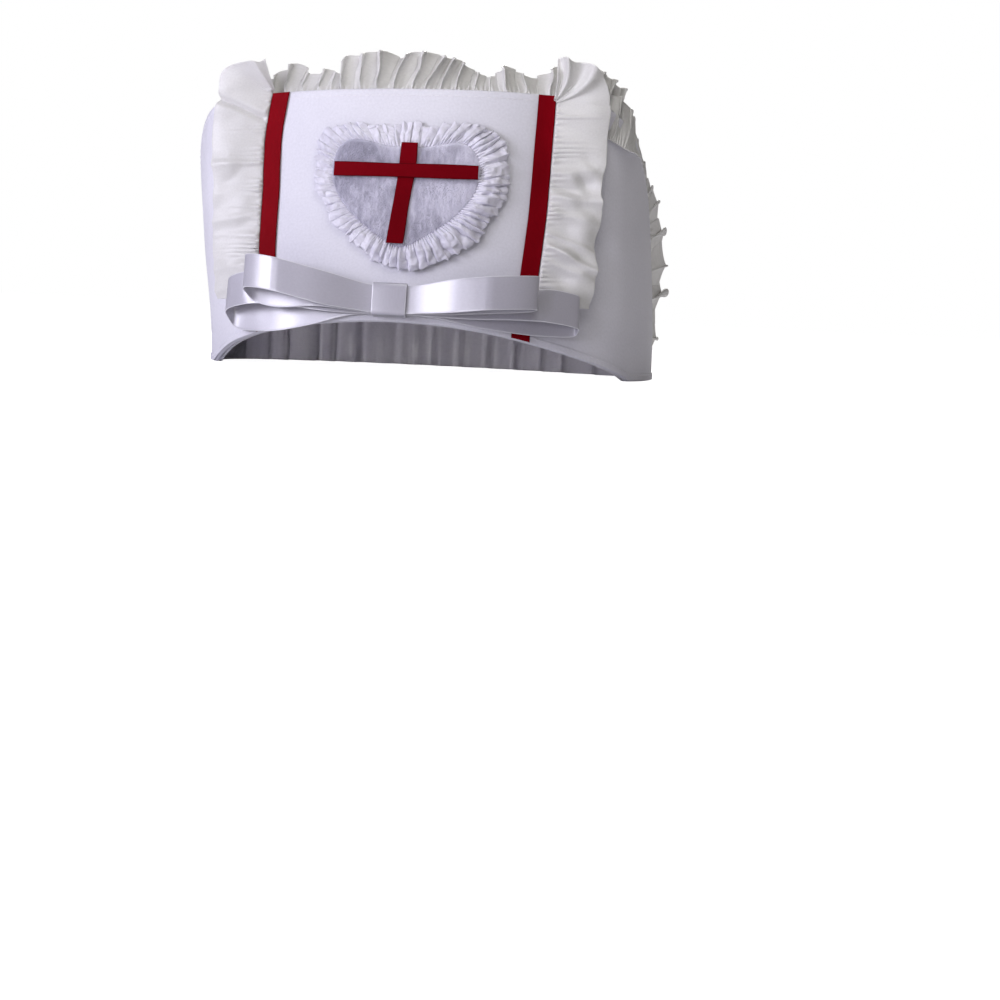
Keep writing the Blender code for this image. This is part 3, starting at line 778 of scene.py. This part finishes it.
def make_edge_ruffle(side, way):
    """The strip down a wing's slanting edge.

    It stands on the edge.  On the right it lies over the outer face near the front corner,
    with its seam lower there, and a lull behind that where it is low and calm.  The wave
    grows from the seam, and its hem swings in and out.
    """
    upper, lower = EDGE_HEIGHT
    flare_above, flare_below = EDGE_FLARE[side]
    over_corner = CORNER_FALL[side]
    laid = over_corner > 0.0

    def place(a, t):
        down = a if way > 0 else 1.0 - a
        s = EDGE_START[side] + (EDGE_END - EDGE_START[side]) * down
        run = down * EDGE_LENGTH
        turn = TAU * run / EDGE_PITCH + 3.6 * wander(run, 0.021, 31 + way)
        height = upper + (lower - upper) * down + 0.0016 * wander(run, 0.008, 41 + way)
        first = 0.75 if laid else 0.25
        height = height * (first + (1.0 - first) * ease(run, 0.0, 0.014))
        lull = ease(s, 0.125, 0.150) * (1.0 - ease(down, 0.50, 0.75)) * laid
        height = height * (1.0 - 0.38 * lull)
        corner = ease(s, 0.150, 0.118)
        free = clamp(t)
        rise = GAP + t * (height + over_corner * corner * 0.75) - over_corner * corner
        depth = 0.0029 * (0.9 + 0.7 * wander(run, 0.016, 51 + way)) * (1.0 - 0.62 * lull)
        wave = depth * fold_wave(turn, 1.0) * (0.35 * ease(free, 0.0, 0.3) + 0.65 * free) * height / upper
        pucker = 0.0005 * np.sin(TAU * run / 0.0024) * np.exp(-free * height / 0.003)
        over = -0.0016 * np.sin(2.0 * turn) * free
        flare = (flare_above + (flare_below - flare_above) * ease(down, 0.15, 0.80)) * height * free ** 1.2
        flare = flare * (1.0 - 0.6 * corner * laid)
        tilt = 0.0026 * wander(run, 0.012, 61 + way) * free
        stand = 0.0010 + 0.0026 * ease(s, 0.107, 0.122)
        lie = -CUFF_WALL / 2 + (CUFF_WALL / 2 + stand) * corner * laid
        return beside_edge(way * (s + over + tilt), rise, flare + wave + pucker + lie)

    piece = cloth(
        f"edge_ruffle_{side}_satin", place, 500, 17, (EDGE_LENGTH, EDGE_STRIP), SATIN_WALL, RUFFLE_SATIN,
        thick=hem_thick(EDGE_STRIP),
    )
    settle(piece, "ruffle_satin", f"edge_ruffle_{side}")


def stripe_line(which, z):
    """Where along the rim a red stripe's middle is at height z."""
    heights, places = np.array(STRIPE_LINES[which]).T
    spread = (-0.004, 0.0, 0.004)
    return sum(np.interp(z + step, heights, places) for step in spread) / len(spread)


# The larger folds of the two side ruffles in mm: height at the stripe, height at the free edge,
# how far the cloth stands up there, and the fold's half width.
SIDE_FOLDS = {
    "left": (
        (122.5, 126.5, 3.0, 5.0), (106.0, 103.5, 1.8, 7.0), (97.5, 96.5, 2.6, 2.2),
        (86.0, 82.0, 1.6, 7.0), (73.0, 69.0, 2.2, 3.0), (61.0, 56.0, 1.8, 7.0),
        (49.0, 45.0, 1.8, 3.0), (39.0, 36.0, 1.4, 4.0),
    ),
    "right": (
        (124.0, 128.0, 2.4, 5.0), (111.0, 111.0, 2.0, 7.0), (98.5, 99.0, 3.4, 4.0),
        (88.0, 85.0, 4.2, 3.4), (80.0, 74.0, 4.6, 3.6), (70.0, 60.0, 3.4, 2.0),
        (64.0, 52.0, 6.2, 2.4), (57.0, 47.0, 2.6, 2.4), (45.0, 40.0, 1.6, 5.0),
    ),
}
# How deeply each side ruffle is dented between its folds.
SIDE_DENTS = {"left": 0.0006, "right": 0.0025}
# Where a side ruffle turns the corner above its stripe, its free edge sweeps round there.  Each
# side has the width and height of that sweep, its squareness, the folds in it and their depth.
CORNER_SWEEP = {
    "left": (0.0310, 0.0128, 4.5, 1.4, 0.0012),
    "right": (0.0310, 0.0205, 3.0, 2.6, 0.0025),
}
# How far the top of each sweep nods forward.
CORNER_NOD = {"left": 0.0080, "right": 0.0020}
# The sweep's innermost radius, and its share of the strip's rows.
SWEEP_INNER = 0.0016
SWEEP_SHARE = 0.24


def make_side_ruffle(side, way):
    """The gathered strip beside a red stripe, which turns the corner above the stripe.

    Along the stripe off = lift across^0.7 + a ridge 1 / (1 + d^2) along each charted fold +
    short puckers sin(z) of chance length that die away from the seam.  Round the corner the
    strip fans out: its points lie on rays at angle phi, as far out as a superellipse.
    """
    low = SIDE_LOW[side]
    high = SIDE_TOP
    length = high - low
    wide, tall, square, folds, deep = CORNER_SWEEP[side]

    def place(a, t):
        straight = clamp(t / (1.0 - SWEEP_SHARE))
        z = low + length * np.minimum(t / (1.0 - SWEEP_SHARE), 1.0)
        phi = math.pi / 2 * np.clip((t - 1.0 + SWEEP_SHARE) / SWEEP_SHARE, 0.0, 1.02)
        across = clamp(a if way > 0 else 1.0 - a)
        start = stripe_line(side, z) + way * (STRIPE_WIDTH[side] / 2 + GAP)
        narrow = SIDE_WIDTH * 0.96
        width = narrow + (wide - SWEEP_INNER - narrow) * ease(z, 0.080, 0.122)
        width = width + 0.0008 * wander(z, 0.013, 71 + way) * across * (phi <= 0.0)
        cos_phi, sin_phi = np.cos(phi), np.sin(phi)
        reach = ((np.abs(cos_phi) / wide) ** square + (sin_phi / tall) ** square) ** (-1.0 / square)
        reach = reach + 0.0011 * np.sin(TAU * folds * phi / 1.9 + 0.9 + way) * sin_phi
        ray = SWEEP_INNER + (reach - SWEEP_INNER) * across
        beside = np.where(phi > 0.0, ray * cos_phi - SWEEP_INNER, width * across)
        above = np.where(phi > 0.0, ray * sin_phi, 0.0)

        off = GAP + SATIN_WALL / 2 + 0.0042 * across ** 0.7
        for at_seam, at_edge, stand, half in MM * np.array(SIDE_FOLDS[side]):
            from_fold = (z - at_seam - (at_edge - at_seam) * across) / (half * (0.45 + 0.75 * across))
            off = off + stand * across ** 0.5 * (1.08 - 0.4 * across) / (1.0 + from_fold ** 2)
        if side == "left":
            from_crease = z - 0.1185 - 0.0100 * across ** 0.8
            off = off - 0.0036 * np.exp(-(from_crease / 0.0017) ** 2) * across ** 0.3
            off = off + 0.0042 * ease(from_crease, 0.0, 0.0120) * across ** 1.2
        bent = phi + 0.22 * np.sin(2.6 * across + way) * ease(phi, 0.0, 0.5)
        fan = deep * fold_wave(4.0 * folds * bent + 0.6, 0.8)
        off = off + (fan + deep) * across ** 0.8 * ease(phi, 0.0, 0.5)
        off = off - 0.0022 * ease(phi, 0.9, 1.57) * across
        off = off + CORNER_NOD[side] * across * ease(phi, 0.0, 1.0) * sin_phi ** 1.2
        run = z + 0.020 * phi
        below = 1.0 - ease(z, 0.092, 0.112)
        dents = hills(run * 1.2 + across * width * 0.35, across * width * 0.8, 0.0075, 75 + way)
        off = off + (SIDE_DENTS[side] * below + 0.0004) * dents * across ** 0.5
        turn = TAU * run / PUCKER_PITCH + 4.4 * wander(run, 0.0075, 81 + way)
        fade = 0.12 * np.exp(1.1 * wander(run, 0.0042, 85 + way))
        strong = 0.60 + 0.45 * wander(run, 0.0055, 87 + way)
        pucker = 0.0010 * strong * (1.0 + np.sin(turn))
        pucker = pucker * np.minimum(across / 0.03, 1.0) * np.exp(-across / fade)
        sway = 0.0011 * wander(z, 0.009, 89 + way) * across * (1.0 - ease(straight, 0.9, 1.0))
        return on_cuff(start + way * beside, z + above + sway, off + pucker)

    piece = cloth(
        f"side_ruffle_{side}_satin", place, 44, 380, (SIDE_WIDTH, length), SATIN_WALL, RUFFLE_SATIN,
        flat_uv=lambda grid: (grid[0] * SIDE_WIDTH, grid[1] * length / (1.0 - SWEEP_SHARE)),
    )
    settle(piece, "ruffle_satin", f"side_ruffle_{side}")


def make_stripe(side):
    """A red ribbon stripe down the front, from the upper edge to the brow."""
    def place(a, t):
        beside = (a - 0.5) * STRIPE_WIDTH[side]
        near = stripe_line(side, ARCH_RISE + FRONT_HEIGHT * t) + beside
        low = rim_z(near) + STRIPE_HEM
        z = low + (top_z(near) - STRIPE_HEM - low) * t
        lift = 0.00012 * (1.0 + np.sin(z / 0.0047 + 1.5 * wander(z, 0.02, 91)))
        return on_cuff(stripe_line(side, z) + beside, z, GAP + RIBBON_WALL / 2 + lift)

    # The ribbon's long edges are those of a, so its cloth is laid out crosswise.
    def turned(a, t):
        return place(t, 1.0 - a)

    piece = cloth(
        f"ribbon_{side}_satin", turned, 160, 14, (FRONT_HEIGHT, STRIPE_WIDTH[side]), RIBBON_WALL, RED_SATIN,
    )
    settle(piece, "red_satin", f"ribbon_{side}")


def heart_outline(turn):
    """The heart's edge, turn in radians from the notch: across and up from its middle."""
    across = HEART_HALF_WIDTH * signed(np.sin(turn), HEART_FULL)
    lobes = 13.0 * np.cos(turn) - 5.0 * np.cos(2.0 * turn)
    tip = 2.0 * np.cos(3.0 * turn) + np.cos(4.0 * turn)
    fill = NOTCH_FILL * clamp(np.cos(turn)) ** 8
    return across, HEART_UNIT * (lobes - tip + fill)


def heart_table():
    """The heart's edge measured off evenly: turn against distance along it, and its length."""
    turn = np.linspace(0.0, TAU, 1441)
    edge_x, edge_y = heart_outline(turn)
    around = np.concatenate(([0.0], np.cumsum(np.hypot(np.diff(edge_x), np.diff(edge_y)))))
    return turn, around, float(around[-1])


HEART_TURN, HEART_AROUND, HEART_ROUND = heart_table()


def cushion(t):
    """The cushion's share of its full height, t from its middle 0 to its edge 1."""
    return HEART_RIM + (1.0 - HEART_RIM) * np.sqrt(clamp(1.0 - t ** 8))


def make_heart():
    """The plush heart: the heart's edge drawn in to its middle, the face a low cushion.

    off = rim + (1 - rim) (1 - t^8)^0.5 over the stretched outline, so it rounds over at the edge.
    """
    def place(a, t):
        across, up = heart_outline(TAU * a)
        face = HEART_THICK * cushion(t)
        soft = 0.0002 * hills(across * t, up * t, 0.004, 101)
        return on_cuff(HEART_S + across * t, HEART_Z + up * t, GAP + face / 2 + soft * (1.0 - t))

    def layout(grid):
        across, up = heart_outline(TAU * grid[0])
        return across * grid[1], up * grid[1]

    piece = cloth(
        "heart_plush", place, 220, 40, (HEART_ROUND, HEART_HALF_WIDTH), HEART_THICK, PLUSH,
        closed=True, pole=True, thick=lambda a, t: cushion(t), flat_uv=layout,
    )
    settle(piece, "short_plush", "heart_patch")


def make_pile():
    """The plush's pile: thin tapered hairs, each one triangle, lying down and a little to the side."""
    rng = np.random.default_rng(7)
    count = PILE_HAIRS
    turn = rng.uniform(0.0, TAU, count)
    share = np.sqrt(rng.uniform(0.0, 1.0, count)) * 0.985
    across, up = heart_outline(turn)
    x, y = across * share, up * share
    s, z = HEART_S + x, HEART_Z + y
    face = GAP + HEART_THICK * cushion(share)
    way = -math.pi / 2 + 0.9 * hills(x, y, 0.011, 103) + rng.normal(0.0, 0.35, count)
    reach = rng.uniform(0.0009, 0.0017, count)
    stand = rng.uniform(0.00025, 0.0008, count)
    half = rng.uniform(0.00006, 0.00011, count)
    root = on_cuff(s + half * np.sin(way), z - half * np.cos(way), face - 0.0001)
    other = on_cuff(s - half * np.sin(way), z + half * np.cos(way), face - 0.0001)
    tip = on_cuff(s + reach * np.cos(way), z + reach * np.sin(way), face + stand)
    points = np.stack((root, tip, other), 1).reshape(-1, 3)
    faces = np.arange(count * 3).reshape(count, 3)
    piece = make_object("heart_pile", points, faces, PLUSH)
    settle(piece, "short_plush")


def make_frill():
    """The frill round the heart: a gathered ring that rises from its seam and falls to the cuff.

    off = hump sin(pi t^0.7), highest on the side where the frill is widest, with close crimps
    at the seam, crinkles of chance form over it and loose waves at the free edge.
    """
    def place(a, t):
        run = a * HEART_ROUND
        edge_u, edge_v = heart_outline(np.interp(np.mod(run, HEART_ROUND), HEART_AROUND, HEART_TURN))
        far = np.hypot(edge_u, edge_v - FRILL_CENTRE)
        out_u, out_v = edge_u / far, (edge_v - FRILL_CENTRE) / far
        towards = 0.5 + 0.5 * (out_u * math.cos(WIDEST_TOWARDS) + out_v * math.sin(WIDEST_TOWARDS))
        above = ease(out_v, 0.1, 0.9)
        free = clamp(t)
        ring = TAU * a
        uneven = 0.0006 * np.sin(11.0 * ring + 1.3) + 0.0004 * np.sin(17.0 * ring)
        width = FRILL_WIDTH + FRILL_EXTRA * towards ** 2 + uneven + 0.0016 * above
        width = width - 0.0018 * ease(-out_v, 0.7, 1.0)
        full = 0.35 + 0.85 * towards ** 1.3
        x, y = edge_u + out_u * width * free, edge_v + out_v * width * free
        drift = 0.55 * hills(x, y, 0.0055, 113) * free
        puff_turn = 27.0 * ring + 1.5 * np.sin(6.0 * ring) + 1.1 * np.sin(11.0 * ring + 1.0)
        puff = np.abs(np.sin(puff_turn + drift * 2.0)) ** 0.6
        ragged = 0.0016 * (puff - 0.6) + 0.0010 * hills(x, y, 0.0017, 111)
        close = np.sin(151.0 * ring + 3.4 * np.sin(9.0 * ring) + 1.9 * np.sin(23.0 * ring + 0.4))
        hump = (0.0012 + 0.0030 * towards ** 1.5) * np.sin(math.pi * free ** 0.75)
        hump = hump * (0.45 + 0.55 * puff * ease(free, 0.0, 0.35) + 0.2 * (1.0 - ease(free, 0.0, 0.35)))
        crimp = 0.00055 * close * np.minimum(free / 0.06, 1.0) * np.exp(-free / 0.20) * (0.4 + full)
        lips = 0.0013 * (puff - 0.5) * free ** 1.5 * (0.5 + 0.5 * full)
        crinkle = 0.00050 * hills(x, y, 0.0014, 107) + 0.00060 * hills(x, y, 0.0029, 109)
        crinkle = crinkle * ease(free, 0.05, 0.30) * (0.6 + 0.5 * full)
        off = GAP + SATIN_WALL / 2 + 0.0012 * free + hump + crimp + lips + crinkle
        lead = 0.0007 * np.sin(61.0 * ring + 1.2 * np.sin(7.0 * ring)) * free
        reach = -0.0010 + (width + ragged + 0.0010) * free
        u = HEART_S + edge_u + out_u * reach + out_v * lead
        v = HEART_Z + edge_v + out_v * reach - out_u * lead
        return on_cuff(u, v, off)

    piece = cloth(
        "heart_frill_organza", place, 1500, 17, (HEART_ROUND, 0.012), 0.0004, ORGANZA, closed=True,
        thick=lambda a, t: 1.0 + 0.8 * ease(t, 0.90, 0.94),
    )
    settle(piece, "frill_organza", "heart_frill")


def strip_on_heart(name, node, line, width, off, upright):
    """A strip of ribbon along a bent line of (across, up) points measured from the heart's middle."""
    line_u, line_v = np.array(line).T
    ends = np.linspace(0.0, 1.0, len(line))
    length = float(np.hypot(np.diff(line_u), np.diff(line_v)).sum())

    def place(a, t):
        u = np.interp(a, ends, line_u)
        v = np.interp(a, ends, line_v)
        side = (t - 0.5) * width * (1.0 + 0.03 * np.sin(9.0 * a + 1.0))
        lift = 0.00015 * np.sin(a * 7.0 + 0.6) + 0.0002 * np.abs(a - 0.5) ** 2
        if upright:
            return on_cuff(HEART_S + u - side, HEART_Z + v, off + lift)
        return on_cuff(HEART_S + u, HEART_Z + v + side, off + lift)

    piece = cloth(name, place, 90, 12, (length, width), RIBBON_WALL, CROSS_RED)
    settle(piece, "red_satin", node)


def make_cross():
    """Two strips of red ribbon crossing on the heart, the upright one under the bar."""
    lift = GAP + HEART_THICK + 0.0007 + RIBBON_WALL / 2
    strip_on_heart("cross_upright_satin", "cross_upright", UPRIGHT_LINE, UPRIGHT_WIDTH, lift, True)
    strip_on_heart("cross_bar_satin", "cross_bar", BAR_LINE, BAR_WIDTH, lift + RIBBON_WALL + 0.0003, False)


def make_bow_band(name):
    """A pair of loops as one closed band, pinched at the knot and round at its two ends.

    The band runs to the right end and back to the left end in the plan.  Its layers part by
    u^1.45 from the knot to the widest place, and closing changes the width beyond that.
    Slip lets the back layer down and the front one up, and upper_edge is how far the upper
    edges part as a share of the lower ones, until the ends, where both part alike.
    """
    form = BOW_BANDS[name]

    def place(a, t):
        turn = TAU * a
        run = signed(np.cos(turn), 0.9)
        to_front = -signed(np.sin(turn), 0.38)
        far = np.abs(run)
        reach, rise, swell, full, closing, slip = (
            np.where(run < 0.0, *form[key])
            for key in ("reach", "rise", "swell", "swell_to", "closing", "slip")
        )
        width = PINCHED_WIDTH + (BOW_WIDTH - PINCHED_WIDTH) * ease(far, 0.16, 0.50)
        up = (t - 0.5) * width
        narrow = (1.0 - form["upper_edge"]) * (1.0 - ease(far, 0.74, 0.86))
        share = 1.0 - narrow * t
        rounding = (-0.02, 0.0, 0.02)
        opened = sum(clamp((far + step - IN_KNOT) / (full - IN_KNOT)) for step in rounding) / 3.0
        opened = opened ** 1.45
        closing = closing * clamp((far - full) / (1.0 - full))
        half = (LAYER_SPACE + swell * opened * share) / 2 * (1.0 - closing)
        back = form["back"] + form["lift"] * ease(far, 0.10, 0.60) + CAD_BOW_WALL / 2
        ripple = 0.00018 * np.sin(far * 15.0 + 1.7 * to_front) * ease(far, 0.2, 0.5)
        off = back + half * (1.0 + to_front) + ripple
        beyond = clamp((far - IN_KNOT) / (1.0 - IN_KNOT))
        slip = slip * ease(far, *form["slip_over"]) * (to_front - form["slip_rest"]) / 2
        z = KNOT_Z + rise * beyond ** 1.1 + up + slip
        return on_cuff(KNOT_S + run * reach, z, off)

    around = 2.0 * sum(form["reach"])
    piece = cloth(f"{name}_satin", place, 420, 16, (around, BOW_WIDTH), BOW_WALL, BOW_SATIN, closed=True)
    settle(piece, "bow_satin", name)


def make_knot():
    """The ribbon wound round the bow's middle: an upright rounded band, flat in front and behind."""
    inner = GAP + CAD_BOW_WALL
    outer = BOW_BANDS["bow_upper"]["back"] + LAYER_SPACE + CAD_BOW_WALL + 2.0 * GAP
    around = 2.0 * (KNOT_HEIGHT + outer - inner)

    def place(a, t):
        turn = -TAU * a
        up = signed(np.sin(turn), KNOT_CORNER)
        out = signed(np.cos(turn), KNOT_CORNER)
        off = (inner + outer) / 2 + out * (outer - inner) / 2
        rounded = 0.0004 * np.cos((t - 0.5) * 2.6) * (out > 0.0)
        return on_cuff(KNOT_S + (t - 0.5) * KNOT_WIDTH, KNOT_Z + up * KNOT_HEIGHT / 2, off + rounded)

    piece = cloth("bow_knot_satin", place, 160, 24, (around, KNOT_WIDTH), BOW_WALL, BOW_SATIN, closed=True)
    settle(piece, "bow_satin", "bow_knot")


def make_stitches(name, line, length):
    """A row of lock stitches: low rounded grains half sunk in the cloth.

    line(d) gives the points of the seam at distance d.  Each grain is six-sided, stretched
    along the seam, with its width following the sine of the way along it.
    """
    count = int(length / STITCH_PITCH)
    middle = (np.arange(count) + 0.5) * length / count
    ring = np.arange(6) / 6.0 * TAU
    way = np.linspace(0.0, 1.0, 5)
    centre = line(middle)
    near = STITCH_PITCH * 0.1
    ahead = unit(line(middle + near) - line(middle - near))
    out = unit(line(middle, 0.001) - centre)
    side = np.cross(ahead, out)
    girth = THREAD_HALF * np.sin(math.pi * (0.06 + 0.88 * way))
    shift = (way - 0.5) * STITCH_LENGTH
    centre, ahead, side, out = (vectors[:, None, None] for vectors in (centre, ahead, side, out))
    points = centre + ahead * shift[:, None, None]
    points = points + side * (girth[:, None] * np.cos(ring))[..., None]
    points = (points + out * (girth[:, None] * np.sin(ring))[..., None]).reshape(-1, 3)
    grid = np.arange(5 * 6).reshape(5, 6)
    turned = np.roll(grid, -1, axis=1)
    walls = np.stack((grid[:-1], turned[:-1], turned[1:], grid[1:]), -1).reshape(-1, 4)
    caps = np.array([[0, 3, 2, 1], [0, 5, 4, 3], [24, 25, 26, 27], [24, 27, 28, 29]])
    faces = np.concatenate((walls, caps))
    faces = (faces[None] + (np.arange(count) * 30)[:, None, None]).reshape(-1, 4)
    spots = np.tile(np.array(((0.0, 0.0), (0.001, 0.0), (0.001, 0.001), (0.0, 0.001))), (len(faces), 1, 1))
    piece = make_object(name, points, faces, THREAD, spots)
    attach(piece, "root")


def sew_cuff():
    """Stitch lines on the cuff: along the rim and along the upper edge."""
    def rim(d, off=0.0):
        s = d - WING_REACH
        return on_cuff(s, rim_z(s) + 0.0029, np.full_like(s, off + 0.00045))

    def top(d, off=0.0):
        s = d - WING_REACH + 0.004
        return on_cuff(s, top_z(s) - 0.0036, np.full_like(s, off))

    make_stitches("rim_stitches", rim, 2.0 * WING_REACH)
    make_stitches("upper_edge_stitches", top, 2.0 * WING_REACH - 0.008)


def make_floor():
    """A wide flat sheet of pale paper under the cap."""
    points = np.array(((-9.0, -6.0, 0.0), (9.0, -6.0, 0.0), (9.0, 30.0, 0.0), (-9.0, 30.0, 0.0)))
    points = points - (0.0, 0.0, 0.05 * MM)
    finish, tree, shader = blank_material("seamless_paper")
    # Matt photographic paper, lit to white where the cap throws no shade.
    grain = add_node(tree, "TexNoise", {"Scale": 90.0, "Detail": 2.0}).outputs["Fac"]
    bump = add_node(tree, "Bump", {"Height": grain, "Distance": 0.2 * MM, "Strength": 0.2})
    seen = add_node(tree, "LightPath").outputs["Is Camera Ray"]
    glow = add_node(tree, "Math", {0: seen, 1: 0.95}, operation="MULTIPLY")
    set_inputs(shader, {
        "Base Color": colour("#efeff2"),
        "Normal": bump.outputs["Normal"],
        "Roughness": 0.9,
        "Emission Color": colour("#ffffff"),
        "Emission Strength": glow.outputs["Value"],
    })
    make_object("floor", points, np.array(((0, 1, 2, 3),)), finish)


def place_object(name, data, side, up, away, place):
    """A lamp or camera at place, with its own X, Y and Z along side, up and away."""
    matrix = np.eye(4)
    matrix[:3] = np.stack((side, up, away, place), 1)
    made = bpy.data.objects.new(name, data)
    SCENE.collection.objects.link(made)
    made.matrix_world = Matrix(matrix.tolist())
    return made


def area_light(name, place, aim, size, watts, tone):
    """A square soft light at place, facing aim."""
    data = bpy.data.lights.new(name, "AREA")
    data.size = size
    data.energy = watts
    data.color = colour(tone)[:3]
    away = unit(np.array(place) - np.array(aim))
    side = unit(np.cross((0.0, 0.0, 1.0), away))
    place_object(name, data, side, np.cross(away, side), away, place)


def make_light():
    """A soft key low at the left, a small one nearer the front, weak lights round it, a pale room.

    The light behind shines through the thin crown, so the inside isn't black.
    """
    area_light("key", (-0.66, -0.62, 0.27), (-0.02, -0.05, 0.07), 0.34, 4.3, "#f0eeff")
    area_light("front key", (-0.36, -0.86, 0.16), (-0.02, -0.10, 0.05), 0.17, 1.1, "#f4f2ff")
    area_light("fill", (0.10, -1.45, 0.09), (0.0, 0.0, 0.02), 0.30, 0.7, "#fffdf8")
    area_light("top", (0.055, -0.24, 0.31), (0.035, -0.06, 0.12), 0.20, 0.28, "#fffefa")
    area_light("back", (0.0, 0.95, 0.75), (0.0, 0.03, 0.06), 0.60, 11.0, "#fffefc")
    world = bpy.data.worlds.new("studio")
    SCENE.world = world
    world.use_nodes = True
    tree = world.node_tree
    tree.nodes.clear()
    seen = add_node(tree, "LightPath").outputs["Is Camera Ray"]
    room = add_node(tree, "Background", {"Color": colour("#efe9e1"), "Strength": 0.14})
    white = add_node(tree, "Background", {"Color": colour("#ffffff"), "Strength": 1.0})
    both = add_node(
        tree, "MixShader", {0: seen, 1: room.outputs["Background"], 2: white.outputs["Background"]},
    )
    add_node(tree, "OutputWorld", {"Surface": both.outputs["Shader"]})


def make_camera():
    """The photograph's view: a little to the right of the cap, looking slightly down, rolled a little."""
    right = np.array((0.99444, 0.09410, 0.04725))
    up = np.array((-0.05362, 0.06632, 0.99636))
    back = unit(np.cross(right, up))
    right = unit(np.cross(up, back))
    data = bpy.data.cameras.new("view")
    data.lens = 93.75
    data.sensor_width = 36.0
    data.clip_start = 0.05
    place = (0.16747, -1.32978, 0.0300)
    SCENE.camera = place_object("view", data, right, np.cross(back, right), back, place)
    SCENE.view_settings.view_transform = "Standard"


for old in list(bpy.data.objects):
    if old.type in ("LIGHT", "CAMERA") or old.name == "Cube":
        bpy.data.objects.remove(old, do_unlink=True)

make_camera()
make_light()
make_floor()
make_cuff()
make_rim_hem()
make_crown()
make_top_ruffle()
make_edge_ruffle("left", -1)
make_edge_ruffle("right", 1)
make_side_ruffle("left", -1)
make_side_ruffle("right", 1)
make_stripe("left")
make_stripe("right")
make_heart()
make_pile()
make_frill()
make_cross()
make_bow_band("bow_upper")
make_bow_band("bow_lower")
make_knot()
sew_cuff()

bpy.context.view_layer.update()
